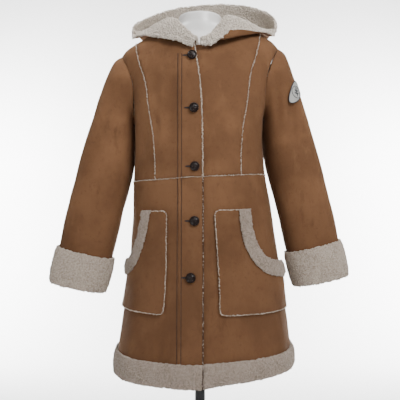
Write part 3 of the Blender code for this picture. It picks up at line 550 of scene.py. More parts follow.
def facing_of(mesh: Mesh, number: int) -> np.ndarray:
    """Which way some of a wall's faces look.

    Args:
        mesh: The wall.
        number: The faces' material number.

    Returns:
        A direction for each vertex, 0 off those faces.
    """
    ways = np.zeros((len(mesh.vertices), 3))
    for polygon in mesh.polygons:
        if polygon.material_index == number:
            ways[list(polygon.vertices)] += np.array(polygon.normal) * polygon.area
    lengths = np.linalg.norm(ways, axis=1)
    return ways / np.where(lengths > 0, lengths, 1)[:, None]


def moved_as_one(mesh: Mesh, height_of: Callable[[np.ndarray, np.ndarray], np.ndarray]) -> None:
    """Moves a wall's outer face, and takes its inner face and its edges along.

    Args:
        mesh: The wall.
        height_of: Gives how far out each point goes, from the points and their normals.
    """
    points, ways = positions(mesh), facing_of(mesh, OUTER)
    outer = np.flatnonzero(np.linalg.norm(ways, axis=1) > 0)
    tree = KDTree(len(outer))
    for number in outer:
        tree.insert(points[number], number)
    tree.balance()
    shift = np.zeros_like(points)
    shift[outer] = ways[outer] * height_of(points[outer], ways[outer])[:, None]
    for number in np.setdiff1d(np.arange(len(points)), outer):
        shift[number] = shift[tree.find(points[number])[1]]
    shifted(mesh, shift)


def smooth_step(values: np.ndarray, low: float, high: float) -> np.ndarray:
    """0 up to low, 1 from high on, and smooth between."""
    t = np.clip((values - low) / (high - low), 0, 1)
    return t * t * (3 - 2 * t)


def waves(points: np.ndarray, length: float, seed: int, count: int = 9) -> np.ndarray:
    """A smooth uneven field, about -1 to 1, made of waves that run every way.

    Args:
        points: Where it is read, a row each.
        length: About the length of its waves.
        seed: Fixes the draw.
        count: How many waves are summed.

    Returns:
        The field's value at each point.
    """
    draw = np.random.default_rng(seed)
    ways = draw.normal(size=(count, 3))
    ways /= np.linalg.norm(ways, axis=1)[:, None]
    lengths = length * draw.uniform(0.75, 1.35, count)
    phases = draw.uniform(0, math.tau, count)
    return np.sin(points @ (ways / lengths[:, None]).T * math.tau + phases).sum(1) / math.sqrt(count)


@dataclass
class Line:
    """Points on the cloth in order, with the cloth's normals there."""

    points: list[Vector]
    normals: list[Vector]

    @classmethod
    def of_hits(cls, hits: Iterable[Sequence]) -> "Line":
        """The line through the hits of a search tree."""
        points, normals, *_ = zip(*hits)
        return cls(list(points), list(normals))

    def raised(self, out: float) -> "Line":
        """The same line, moved out of the cloth."""
        return Line([p + n * out for p, n in zip(self.points, self.normals)], self.normals)

    def mesh(self, name: str) -> Mesh:
        """The line as a mesh of edges."""
        made = bpy.data.meshes.new(name)
        made.from_pydata(self.points, [(k, k + 1) for k in range(len(self.points) - 1)], [])
        return made


def smooth_line(points: Sequence[Vector], spacing: float, closed: bool = False) -> list[Vector]:
    """A smooth curve through points.

    Args:
        points: The points in order.
        spacing: About how far apart the new points are.
        closed: Whether the last point leads back to the first.

    Returns:
        The curve's points.
    """
    count = len(points)
    made: list[Vector] = []
    for k in range(count if closed else count - 1):
        near = range(k - 1, k + 3)
        a, b, c, d = (points[j % count] if closed else points[min(max(j, 0), count - 1)] for j in near)
        parts = max(1, round((c - b).length / spacing))
        for t in (step / parts for step in range(parts)):
            bend = (a * 2 - b * 5 + c * 4 - d) * t * t + (b * 3 - a - c * 3 + d) * t**3
            made.append((b * 2 + (c - a) * t + bend) / 2)
    made.append(points[0].copy() if closed else points[-1].copy())
    return made


# ---------------------------------------------------------------- geometry node trees


class GrowingTree(NodeWork):
    """A geometry tree that grows small pieces on a mesh or along its lines."""

    def __init__(self, name: str, *inputs: str) -> None:
        """Starts the tree.

        Args:
            name: The tree's name.
            *inputs: Its lengths, after the mesh and before the material; a Seed is a whole number.
        """
        tree = bpy.data.node_groups.new(name, "GeometryNodeTree")
        super().__init__(tree)
        tree.interface.new_socket("Mesh", in_out="OUTPUT", socket_type="NodeSocketGeometry")
        tree.interface.new_socket("Mesh", in_out="INPUT", socket_type="NodeSocketGeometry")
        kinds = {"Seed": "NodeSocketInt", "Material": "NodeSocketMaterial"}
        self.keys = {}
        for key in (*inputs, "Material"):
            kind = kinds.get(key, "NodeSocketFloat")
            self.keys[key] = tree.interface.new_socket(key, in_out="INPUT", socket_type=kind).identifier
        self.entry = self.add("NodeGroupInput")

    def value(self, name: str) -> Socket:
        """The socket of one of the tree's inputs."""
        return self.entry.outputs[name]

    def random(self, low: float, high: float, salt: int = 0) -> Socket:
        """A random vector for each point, between two values on every axis."""
        seed = self.math("ADD", self.value("Seed"), salt)
        inputs = {0: (low,) * 3, 1: (high,) * 3, "Seed": seed}
        return self.add("FunctionNodeRandomValue", inputs, data_type="FLOAT_VECTOR").outputs[0]

    def scaled(self, vector: Socket, share: Socket) -> Socket:
        """A vector times a number."""
        return self.add("ShaderNodeVectorMath", {0: vector, 3: share}, operation="SCALE").outputs[0]

    def line(self) -> Socket:
        """The mesh's edges as a curve."""
        return self.add("GeometryNodeMeshToCurve", {"Mesh": self.value("Mesh")}).outputs[0]

    def along_line(self, spacing: str) -> Socket:
        """Points along the mesh's edges, as far apart as an input says."""
        inputs = {"Curve": self.line(), "Length": self.value(spacing)}
        return self.add("GeometryNodeResampleCurve", inputs, mode="LENGTH").outputs[0]

    def end(self, geometry: Socket) -> None:
        """Makes the instances real, smooth and dressed, and ends the tree."""
        real = self.add("GeometryNodeRealizeInstances", {0: geometry}).outputs[0]
        smooth = self.add("GeometryNodeSetShadeSmooth", {"Geometry": real}).outputs[0]
        inputs = {"Geometry": smooth, "Material": self.value("Material")}
        self.add("NodeGroupOutput", {0: self.add("GeometryNodeSetMaterial", inputs).outputs[0]})

    def end_with(self, shape: Socket, points: Socket, turn: Socket, size: Socket) -> None:
        """Puts a shape on every point, and ends the tree."""
        inputs = {"Points": points, "Instance": shape, "Rotation": turn, "Scale": size}
        self.end(self.add("GeometryNodeInstanceOnPoints", inputs).outputs[0])

    def end_with_curls(self, points: Socket, smallest: float, largest: float) -> None:
        """Puts a curl of random size and turn on every point, and ends the tree."""
        lump = self.add("GeometryNodeMeshIcoSphere", {"Radius": 1.0, "Subdivisions": 1}).outputs[0]
        size = self.scaled(self.random(smallest, largest), self.value("Curl"))
        self.end_with(lump, points, self.random(0, math.tau, 7), size)

    def grow(self, name: str, base: Mesh, finish: Finish, **values) -> Mesh:
        """Runs the tree on a mesh.

        Args:
            name: A name for the work.
            base: The mesh to grow on, which is used up.
            finish: The finish of what grows.
            **values: A value for each of the tree's own inputs.

        Returns:
            The grown mesh.
        """
        holder = placed(name, base)
        modifier = holder.modifiers.new("Grow", "NODES")
        modifier.node_group = self.tree
        values["Material"] = material_of(finish)
        for key, value in values.items():
            modifier[self.keys[key]] = value
        return baked(holder)


def wool_pile_tree() -> GrowingTree:
    """Curls of wool strewn on the faces of a mesh.

    Returns:
        The tree.
    """
    work = GrowingTree("wool pile", "Spacing", "Curl", "Seed")
    spacing = work.value("Spacing")
    most = work.math("DIVIDE", 2.0, work.math("MULTIPLY", spacing, spacing))
    inputs = {
        "Mesh": work.value("Mesh"), "Distance Min": spacing, "Density Max": most, "Seed": work.value("Seed")
    }
    strewn = work.add("GeometryNodeDistributePointsOnFaces", inputs, distribute_method="POISSON")
    work.end_with_curls(strewn.outputs[0], 0.6, 1.25)
    return work


def wool_welt_tree() -> GrowingTree:
    """Curls of wool that well out along a seam.

    Returns:
        The tree.
    """
    work = GrowingTree("wool welt", "Spacing", "Curl", "Scatter", "Seed")
    shift = work.scaled(work.random(-1, 1, 3), work.value("Scatter"))
    inputs = {"Geometry": work.along_line("Spacing"), "Offset": shift}
    strewn = work.add("GeometryNodeSetPosition", inputs)
    work.end_with_curls(strewn.outputs[0], 0.55, 1.3)
    return work


def stitching_tree() -> GrowingTree:
    """Short rounded stitches laid end to end along a line.

    Returns:
        The tree.
    """
    work = GrowingTree("stitching", "Pitch", "Length", "Thickness")
    points = work.along_line("Pitch")
    along = work.add("GeometryNodeInputTangent").outputs[0]
    turn = work.add("FunctionNodeAlignRotationToVector", {"Vector": along}, axis="Z").outputs[0]
    stitch = work.add("GeometryNodeMeshUVSphere", {"Segments": 6, "Rings": 4, "Radius": 0.5}).outputs[0]
    thickness = work.value("Thickness")
    size = work.add("ShaderNodeCombineXYZ", {0: thickness, 1: thickness, 2: work.value("Length")})
    work.end_with(stitch, points, turn, size.outputs[0])
    return work


def cord_tree() -> GrowingTree:
    """A round cord along a line.

    Returns:
        The tree.
    """
    work = GrowingTree("cord", "Radius")
    ring = work.add("GeometryNodeCurvePrimitiveCircle", {"Resolution": 8, "Radius": work.value("Radius")})
    inputs = {"Curve": work.line(), "Profile Curve": ring.outputs[0], "Fill Caps": True}
    work.end(work.add("GeometryNodeCurveToMesh", inputs).outputs[0])
    return work


# ---------------------------------------------------------------- the cloth walls


class Cut:
    """One cloth wall of the frame: its two faces, its borders and a finer copy of it."""

    def __init__(self, node: str, facing: Facing, heart: tuple[float, float] = (0, 0)) -> None:
        """Takes a node apart.

        Args:
            node: The frame's node.
            facing: How its suede side is told.
            heart: The X and Y that its suede side faces away from.
        """
        self.shape = solid_of(node)
        self.shape.faces.index_update()
        parts = self._parts()
        front = self._front(parts, facing, heart)
        self.outer, self.inner = parts[front], parts[1 - front]
        self.loops = self._loops()

    def _parts(self) -> list[set[bmesh.types.BMFace]]:
        """The faces parted along sharp edges.

        Returns:
            The parts, the largest first.
        """
        left = set(self.shape.faces)
        parts = []
        while left:
            start = left.pop()
            part, queue = {start}, [start]
            while queue:
                for edge in queue.pop().edges:
                    if edge.is_boundary or edge.calc_face_angle(math.pi) > SHARP:
                        continue
                    for face in edge.link_faces:
                        if face in left:
                            left.remove(face)
                            part.add(face)
                            queue.append(face)
            parts.append(part)
        return sorted(parts, key=lambda part: -sum(f.calc_area() for f in part))

    def _front(self, parts: list[set[bmesh.types.BMFace]], facing: Facing, heart: tuple[float, float]) -> int:
        """Tells which part is the suede side.

        Args:
            parts: The parts, the largest first.
            facing: How the suede side is told.
            heart: The X and Y that it faces away from.

        Returns:
            The part's number, 0 or 1.
        """
        if facing is Facing.LARGER:
            return 0
        scores = []
        for part in parts[:2]:
            score = 0.0
            for face in part:
                middle = face.calc_center_median()
                away = Vector((middle.x - heart[0], middle.y - heart[1], 0)).normalized()
                if facing is Facing.OUT_AND_DOWN:
                    away = away * OUT_SHARE - UP
                score += face.normal.dot(away) * face.calc_area()
            scores.append(score)
        return 0 if scores[0] > scores[1] else 1

    def _loops(self) -> list[list[Vector]]:
        """The borders of the suede side.

        Returns:
            The points of each border in order, the longest border first.
        """
        follow: dict[bmesh.types.BMVert, bmesh.types.BMVert] = {}
        for face in (face for face in self.shape.faces if face in self.outer):
            for loop in face.loops:
                if not any(other in self.outer for other in loop.edge.link_faces if other is not face):
                    follow[loop.vert] = loop.link_loop_next.vert
        loops = []
        while follow:
            start, vert = next(iter(follow.items()))
            loop = [start]
            del follow[start]
            while vert is not start and vert in follow:
                loop.append(vert)
                vert = follow.pop(vert)
            loops.append([v.co.copy() for v in loop])
        return sorted(loops, key=lambda loop: -len(loop))

    def sides(self, turn: float = 50) -> list[list[Vector]]:
        """The borders parted at their corners.

        Args:
            turn: A corner turns by more than so many degrees.

        Returns:
            The points of each side.
        """
        found = []
        for loop in self.loops:
            count = len(loop)
            corners = [
                k for k in range(count)
                if (loop[k] - loop[k - 1]).angle(loop[(k + 1) % count] - loop[k], 0) > math.radians(turn)
            ]
            if len(corners) < 2:
                found.append(loop + [loop[0]])
                continue
            for a, b in zip(corners, corners[1:] + [corners[0] + count]):
                found.append([loop[j % count] for j in range(a, b + 1)])
        return found

    def side_towards(self, way: Vector) -> list[Vector]:
        """The side whose middle lies farthest along a direction."""
        return max(self.sides(), key=lambda side: sum((p.dot(way) for p in side), 0.0) / len(side))

    def finer(self, name: str, levels: int, *finishes: Finish) -> Mesh:
        """A smooth finer copy of the wall.

        Args:
            name: The new mesh's name.
            levels: How many times it is divided.
            *finishes: The finishes of its outer face, its inner face and its edges.

        Returns:
            The finer mesh, with its three materials in that order.
        """
        crease_sharp(self.shape, 1.0)
        for face in self.shape.faces:
            face.material_index = OUTER if face in self.outer else INNER if face in self.inner else EDGES
        coarse = mesh_of(self.shape.copy(), name, *(material_of(finish) for finish in finishes))
        return divided(name, coarse, levels)


@dataclass(frozen=True)
class FlatCut:
    """The flat size of a piece of cloth, and how much of it its cut fills."""

    node: str
    width: float
    length: float
    area: float

    @property
    def tube(self) -> bool:
        """Whether it is sewn to a tube."""
        return self.node.startswith(("sleeve_left", "sleeve_right", "cuff"))


@dataclass(frozen=True)
class Pile:
    """The curls of wool that a wall wears."""

    base: Mesh
    finish: WoolFinish
    spacing: float
    curl: float
    seed: int


@dataclass(frozen=True)
class Stitch:
    """How far apart stitches are, how long and thick each is, and their thread."""

    pitch: float
    length: float
    thickness: float
    thread: PlainFinish


@dataclass
class Jacket:
    """What all the jacket's makers share: its cuts, its finished cloth and its trees."""

    cuts: dict[str, Cut] = field(default_factory=dict)
    cloth: dict[str, bpy.types.Object] = field(default_factory=dict)
    found: dict[str, BVHTree] = field(default_factory=dict)
    pile: GrowingTree = field(default_factory=wool_pile_tree)
    welt: GrowingTree = field(default_factory=wool_welt_tree)
    stitching: GrowingTree = field(default_factory=stitching_tree)
    cord: GrowingTree = field(default_factory=cord_tree)
    seam_step: float = 0.0005

    def cut(self, flat: FlatCut, facing: Facing = Facing.AWAY_FROM_HEART, **where) -> Cut:
        """Takes a flat cut's node apart and keeps it."""
        self.cuts[flat.node] = Cut(flat.node, Facing.LARGER if flat.tube else facing, **where)
        return self.cuts[flat.node]

    def lay(
        self, flat: FlatCut, mesh: Mesh, slot: str,
        pile: Pile | None = None,
    ) -> None:
        """Shows a finished wall as a sheet of cloth.

        Args:
            flat: Its flat cut.
            mesh: The wall.
            slot: The record's material slot.
            pile: Its curls of wool, if it shows any.
        """
        piece = self.cloth[flat.node] = new_piece(mesh.name, mesh, slot, flat.node)
        if pile:
            curls = self.pile.grow(
                mesh.name, pile.base, pile.finish, Spacing=pile.spacing, Curl=pile.curl, Seed=pile.seed
            )
            new_piece(f"{flat.node}_curls", curls, "wool")

    def tree(self, node: str) -> BVHTree:
        """A search tree of one node's finished outer face.

        Args:
            node: The frame's node.

        Returns:
            The tree, which is built once.
        """
        if node not in self.found:
            mesh = self.cloth[node].data
            faces = [tuple(p.vertices) for p in mesh.polygons if p.material_index == OUTER]
            self.found[node] = BVHTree.FromPolygons([v.co for v in mesh.vertices], faces)
        return self.found[node]

    def snapped(self, points: Iterable[Vector], node: str) -> Line:
        """Points laid on the finished cloth of a node."""
        return Line.of_hits(self.tree(node).find_nearest(point) for point in points)

    def seen(self, places: Iterable[tuple[float, float]], *nodes: str) -> Line:
        """The cloth that the front view shows at some X and Z.

        Args:
            places: Each X and Z; one that falls in a seam's gap is raised to the cloth above it.
            *nodes: The nodes that are looked at.

        Returns:
            The line on the cloth.
        """
        found = []
        for x, z in places:
            hits: list[tuple] = []
            while not hits:
                rays = [self.tree(node).ray_cast(Vector((x, -1, z)), Vector((0, 1, 0))) for node in nodes]
                hits = [ray for ray in rays if ray[0] is not None]
                z += self.seam_step
            found.append(min(hits, key=lambda hit: hit[3]))
        return Line.of_hits(found)

    def cords(
        self, name: str, lines: Iterable[Line], radius: float, finish: Finish, slot: str = "suede"
    ) -> None:
        """Shows round cords along some lines as one piece."""
        grown = [self.cord.grow(name, line.mesh(name), finish, Radius=radius) for line in lines]
        merged_piece(name, grown, slot)

    def sewn(self, name: str, line: Line, stitch: Stitch) -> Mesh:
        """A row of stitches along a line."""
        return self.stitching.grow(
            name, line.mesh(name), stitch.thread, Pitch=stitch.pitch, Length=stitch.length,
            Thickness=stitch.thickness,
        )


@dataclass(frozen=True)
class Crease:
    """A soft trough, or a ridge where its depth is below 0, seen from one side."""

    view: View
    x0: float
    z0: float
    x1: float
    z1: float
    width: float
    depth: float
    bow: float = 0.0
    taper: float = 0.7
    full_facing: float = 0.35

    def depth_at(self, points: np.ndarray, normals: np.ndarray) -> np.ndarray:
        """How deep the crease is.

        Args:
            points: Points of the cloth, a row each.
            normals: The cloth's normals there.

        Returns:
            A depth for each point.
        """
        start, end = np.array((self.x0, self.z0)), np.array((self.x1, self.z1))
        along = end - start
        length = np.linalg.norm(along)
        along = along / length
        across = np.array((-along[1], along[0]))
        offset = points[:, [0, 2]] - start
        arch = np.sin(np.pi * np.clip(offset @ along / length, 0, 1))
        side = offset @ across - self.bow * arch
        facing = smooth_step(self.view.value * normals[:, 1], 0.0, self.full_facing)
        return self.depth * arch**self.taper * np.exp(-((side / self.width) ** 2)) * facing


FRONT_CREASES = (  # x0, z0, x1, z1, width, depth, bow
    # pulls beside the placket and across the chest
    (-0.066, 1.270, -0.074, 1.050, 0.012, 0.0034, 0.006),
    (-0.084, 1.255, -0.088, 1.080, 0.010, -0.0026, -0.004),
    (-0.058, 1.250, -0.104, 1.100, 0.010, 0.0028, -0.004),
    (-0.118, 1.225, -0.072, 1.120, 0.009, 0.0022, 0.003),
    (0.020, 1.240, 0.070, 1.160, 0.013, 0.0016, 0.004),
    (0.095, 1.100, 0.030, 1.045, 0.011, 0.0014),
    (-0.118, 1.120, -0.150, 1.040, 0.010, 0.0018),
    (0.125, 1.125, 0.155, 1.045, 0.010, 0.0018),
    # pulls at the waist seam
    (-0.080, 1.030, -0.095, 0.955, 0.010, 0.0014),
    (0.060, 1.000, 0.050, 0.940, 0.010, 0.0013),
    (0.135, 1.000, 0.142, 0.935, 0.009, 0.0016),
    (-0.135, 1.005, -0.142, 0.930, 0.009, 0.0016),
    # drape of the skirt
    (0.045, 0.760, 0.030, 0.590, 0.016, 0.0020),
    (-0.075, 0.700, -0.085, 0.590, 0.015, 0.0018),
    (0.120, 0.700, 0.132, 0.600, 0.013, 0.0018),
    # left sleeve: long folds down from its head, then pulls at the elbow
    (0.181, 1.275, 0.183, 1.130, 0.009, 0.0040, 0.002),
    (0.198, 1.215, 0.205, 1.095, 0.010, -0.0028, 0.003),
    (0.214, 1.200, 0.222, 1.110, 0.008, 0.0030, -0.002),
    (0.196, 1.130, 0.246, 1.100, 0.008, 0.0030, 0.004),
    (0.196, 1.255, 0.222, 1.120, 0.012, 0.0030, 0.006),
    (0.176, 1.130, 0.250, 1.075, 0.009, 0.0024, 0.004),
    (0.186, 1.010, 0.272, 1.045, 0.009, 0.0026, -0.005),
    (0.190, 0.985, 0.262, 0.972, 0.008, 0.0024, 0.004),
    (0.232, 0.940, 0.312, 0.965, 0.009, 0.0020, -0.004),
    (0.226, 0.875, 0.300, 0.862, 0.009, 0.0018, 0.003),
    # right sleeve
    (-0.186, 1.250, -0.190, 1.120, 0.009, 0.0038, -0.002),
    (-0.204, 1.220, -0.214, 1.090, 0.010, -0.0026, -0.003),
    (-0.198, 1.150, -0.262, 1.105, 0.008, 0.0028, -0.004),
    (-0.198, 1.240, -0.218, 1.110, 0.012, 0.0030, -0.006),
    (-0.176, 1.110, -0.250, 1.060, 0.009, 0.0024, -0.004),
    (-0.186, 0.995, -0.270, 1.025, 0.009, 0.0026, 0.005),
    (-0.196, 0.965, -0.262, 0.950, 0.008, 0.0022, -0.004),
    (-0.224, 0.900, -0.305, 0.925, 0.009, 0.0020, 0.004),
    (-0.232, 0.850, -0.312, 0.838, 0.009, 0.0018, -0.003),
)
BACK_CREASES = (  # x0, z0, x1, z1, width, depth, bow
    (0.150, 1.290, 0.120, 1.120, 0.014, 0.0030, 0.008),
    (-0.150, 1.285, -0.118, 1.115, 0.014, 0.0030, -0.008),
    (0.090, 1.060, 0.020, 1.035, 0.011, 0.0022, 0.004),
    (-0.085, 1.075, -0.015, 1.050, 0.011, 0.0020, -0.004),
    (0.110, 1.000, 0.060, 0.930, 0.012, 0.0018),
    (-0.105, 0.995, -0.060, 0.920, 0.012, 0.0018),
    (0.180, 1.000, 0.270, 1.040, 0.010, 0.0028, -0.005),
    (0.190, 0.965, 0.280, 0.985, 0.009, 0.0024, 0.004),
    (-0.180, 0.985, -0.268, 1.025, 0.010, 0.0028, 0.005),
    (-0.190, 0.950, -0.278, 0.970, 0.009, 0.0024, -0.004),
    (0.210, 1.230, 0.236, 1.110, 0.012, 0.0026, 0.004),
    (-0.212, 1.220, -0.234, 1.100, 0.012, 0.0026, -0.004),
)


@dataclass
class SuedePanels:
    """The suede walls of the body, sleeves and pockets."""

    flats: tuple[FlatCut, ...] = (
        FlatCut("bodice_back", 0.46, 0.40, 0.150),
        FlatCut("bodice_side_front_left", 0.12, 0.33, 0.030),
        FlatCut("bodice_side_front_right", 0.12, 0.33, 0.028),
        FlatCut("bodice_centre_front_left", 0.17, 0.37, 0.053),
        FlatCut("bodice_centre_front_right", 0.15, 0.37, 0.048),
        FlatCut("skirt_back", 0.64, 0.46, 0.242),
        FlatCut("skirt_front_left", 0.36, 0.46, 0.137),
        FlatCut("skirt_front_right", 0.36, 0.46, 0.134),
        FlatCut("sleeve_left", 0.40, 0.60, 0.182),
        FlatCut("sleeve_right", 0.40, 0.60, 0.182),
        FlatCut("pocket_left", 0.18, 0.23, 0.034),
        FlatCut("pocket_right", 0.17, 0.23, 0.030),
    )
    creases: tuple[Crease, ...] = tuple(
        Crease(view, *row)
        for view, rows in ((View.FRONT, FRONT_CREASES), (View.BACK, BACK_CREASES))
        for row in rows
    )
    ripple_length: float = 0.085
    ripple_height: float = 0.0007
    ripple_seed: int = 11
    dimple_length: float = 0.028
    dimple_height: float = 0.00022
    dimple_seed: int = 12
    levels: int = 2

    def height_of(self, points: np.ndarray, normals: np.ndarray) -> np.ndarray:
        """How far the creased, softly uneven suede lies out of the plain one.

        Args:
            points: Points of the cloth, a row each.
            normals: The cloth's normals there.

        Returns:
            A height for each point.
        """
        heights = self.ripple_height * waves(points, self.ripple_length, self.ripple_seed)
        heights += self.dimple_height * waves(points, self.dimple_length, self.dimple_seed)
        for crease in self.creases:
            heights -= crease.depth_at(points, normals)
        return heights

    def build(self, jacket: Jacket) -> None:
        """Cuts, creases and dresses each wall.

        Args:
            jacket: The jacket.
        """
        for flat in self.flats:
            mesh = jacket.cut(flat).finer(f"{flat.node}_cloth", self.levels, SUEDE, WOOL, SUEDE)
            moved_as_one(mesh, self.height_of)
            jacket.lay(flat, mesh, "suede")


@dataclass
class WoolBands:
    """The turned-back bands of wool at the hem, the cuffs and the pocket mouths."""

    flats: tuple[FlatCut, ...] = (
        FlatCut("hem_band_back", 0.64, 0.055, 0.033),
        FlatCut("hem_band_front_left", 0.30, 0.055, 0.0155),
        FlatCut("hem_band_front_right", 0.34, 0.055, 0.0180),
        FlatCut("cuff_left", 0.37, 0.080, 0.0290),
        FlatCut("cuff_right", 0.37, 0.080, 0.0290),
        FlatCut("pocket_band_left", 0.235, 0.036, 0.0070),
        FlatCut("pocket_band_right", 0.225, 0.036, 0.0066),
    )
    lump_length: float = 0.011
    lump_height: float = 0.0007
    lump_sink: float = 0.6
    lump_seed: int = 21
    levels: int = 3
    curl: float = 0.0021
    spacing: float = 0.0027
    first_seed: int = 40

    def build(self, jacket: Jacket) -> None:
        """Cuts each band, makes it lumpy and strews curls on it.

        Args:
            jacket: The jacket.
        """
        for seed, flat in enumerate(self.flats, self.first_seed):
            # the bands and cuffs wear the darker wool copies, painted shade
            finish = SHADED_CUFF_WOOL if flat.tube else SHADED_BAND_WOOL
            mesh = jacket.cut(flat).finer(f"{flat.node}_wool", self.levels, finish, finish, finish)
            lumps = waves(positions(mesh), self.lump_length, self.lump_seed) - self.lump_sink
            moved_out(mesh, self.lump_height * lumps)
            base = part_of(mesh, f"{flat.node}_pile", OUTER, EDGES)
            jacket.lay(flat, mesh, "wool", pile=Pile(base, finish, self.spacing, self.curl, seed))


@dataclass
class Hood:
    """The hood, thrown back off the neck: suede under it, deep wool inside it."""

    flats: tuple[FlatCut, ...] = (
        FlatCut("hood_side_left", 0.27, 0.26, 0.050),
        FlatCut("hood_centre", 0.17, 0.27, 0.040),
        FlatCut("hood_side_right", 0.26, 0.25, 0.047),
    )
    lump_length: float = 0.014
    lump_height: float = 0.0009
    lump_rise: float = 0.2
    lump_seed: int = 31
    ripple_length: float = 0.05
    ripple_height: float = 0.0006
    ripple_seed: int = 32
    levels: int = 3
    suede_lift: float = 0.0011
    pile_lift: float = 0.0010
    curl: float = 0.0027
    spacing: float = 0.0033
    first_seed: int = 60

    def build(self, jacket: Jacket) -> None:
        """Cuts the hood's panels, makes their wool lumpy and strews curls inside and on the rim.

        Args:
            jacket: The jacket.
        """
        for seed, flat in enumerate(self.flats, self.first_seed):
            cut = jacket.cut(flat, Facing.OUT_AND_DOWN)
            mesh = cut.finer(f"{flat.node}_cloth", self.levels, SUEDE, WOOL, WOOL)
            points = positions(mesh)
            suede = np.linalg.norm(facing_of(mesh, OUTER), axis=1) > 0
            lumps = self.lump_height * (waves(points, self.lump_length, self.lump_seed) + self.lump_rise)
            ripples = self.ripple_height * waves(points, self.ripple_length, self.ripple_seed)
            moved_out(mesh, np.where(suede, ripples + self.suede_lift, lumps))
            base = part_of(mesh, f"{flat.node}_pile", INNER, EDGES)
            moved_out(base, self.pile_lift)
            pile = Pile(base, WOOL, self.spacing, self.curl, seed)
            jacket.lay(flat, mesh, "suede", pile)


# ---------------------------------------------------------------- sewing


@dataclass
class SeamShades:
    """Dark cords just under the surface, which close the sewn seams as their shade does."""

    nodes: tuple[str, ...] = (
        "bodice_back", "bodice_side_front_left", "bodice_side_front_right", "skirt_back", "sleeve_left",
        "sleeve_right",
    )
    edged: tuple[str, ...] = ("skirt_front_right", "hem_band_front_right")
    radius: float = 0.0014
    depth: float = 0.0013
    edge_depth: float = 0.0007
    spacing: float = 0.006

    def build(self, jacket: Jacket) -> None:
        """Lays a cord down the edge of the lapping front, and one round each panel's border.

        Args:
            jacket: The jacket.
        """
        for node in self.edged:
            side = smooth_line(jacket.cuts[node].side_towards(Vector((1, 0, 0))), self.spacing)
            line = jacket.snapped(side, node).raised(-self.edge_depth)
            jacket.cords(f"{node}_edge_shade", [line], self.radius, SEAM_SHADE)
        for node in self.nodes:
            borders = [smooth_line(loop, self.spacing, closed=True) for loop in jacket.cuts[node].loops]
            lines = [jacket.snapped(border, node).raised(-self.depth) for border in borders]
            jacket.cords(f"{node}_seam_shade", lines, self.radius, SEAM_SHADE)


@dataclass(frozen=True)
class WeltRun:
    """One run of wool along a side of a panel.

    Its size and its spacing are shares of the common ones, and it rises so far out of the suede.
    """

    name: str
    node: str
    size: float
    rise: float
    apart: float = 1.0
    way: tuple[float, float, float] = (0, 0, -1)


@dataclass
class WoolWelts:
    """Wool that wells out of the raw edges along the seams, the front and the pockets."""

    runs: tuple[WeltRun, ...] = (
        WeltRun("princess_welt_left", "bodice_centre_front_left", 0.95, 0.0001, 1.0, (1, 0, 0)),
        WeltRun("princess_welt_right", "bodice_centre_front_right", 0.95, 0.0001, 1.0, (-1, 0, 0)),
        WeltRun("front_edge_welt_upper", "bodice_centre_front_right", 1.15, 0.0001, 0.8, (1, 0, 0)),
        WeltRun("front_edge_welt_lower", "skirt_front_right", 0.90, -0.0003, 1.9, (1, 0, 0)),
    )
    spacing: float = 0.0019
    curl: float = 0.00145
    scatter: float = 0.0010
    waist_size: float = 0.85
    waist_rise: float = 0.0002
    pocket_size: float = 0.95
    pocket_rise: float = -0.0004
    pocket_corner: float = 35
    step: float = 0.004

    def grow(self, jacket: Jacket, run: WeltRun, side: list[Vector] | None = None) -> Mesh:
        """The curls of one run.

        Args:
            jacket: The jacket.
            run: The run.
            side: The side's points, or None for the side that the run names.

        Returns:
            The curls as one mesh.
        """
        side = side or jacket.cuts[run.node].side_towards(Vector(run.way))
        line = jacket.snapped(smooth_line(side, self.step), run.node).raised(run.rise)
        return jacket.welt.grow(
            run.name, line.mesh(run.name), WELT_WOOL, Spacing=self.spacing * run.apart,
            Curl=self.curl * run.size, Scatter=self.scatter, Seed=sum(run.name.encode()),
        )

    def build(self, jacket: Jacket) -> None:
        """Runs a welt along each open seam.

        Args:
            jacket: The jacket.
        """
        for run in self.runs:
            new_piece(run.name, self.grow(jacket, run), "wool")
        bodice = [node for node in jacket.cuts if node.startswith("bodice")]
        runs = [WeltRun(f"waist_{node}", node, self.waist_size, self.waist_rise) for node in bodice]
        merged_piece("waist_welt", [self.grow(jacket, run) for run in runs], "wool")
        for hand in ("left", "right"):
            self.edge_pocket(jacket, f"pocket_{hand}", f"pocket_band_{hand}")

    def edge_pocket(self, jacket: Jacket, node: str, band: str) -> None:
        """Runs a welt round a pocket, apart from its mouth, which the band covers.

        Args:
            jacket: The jacket.
            node: The pocket's node.
            band: The node of its band.
        """
        points = [v.co for v in jacket.cuts[band].shape.verts]
        middle = sum(points, Vector()) / len(points)
        sides = jacket.cuts[node].sides(self.pocket_corner)
        mouth = min(sides, key=lambda side: min((p - middle).length for p in side))
        welts = [
            self.grow(jacket, WeltRun(f"{node}_edge_{k}", node, self.pocket_size, self.pocket_rise), side)
            for k, side in enumerate(side for side in sides if side is not mouth)
        ]
        merged_piece(f"{node}_welt", welts, "wool")


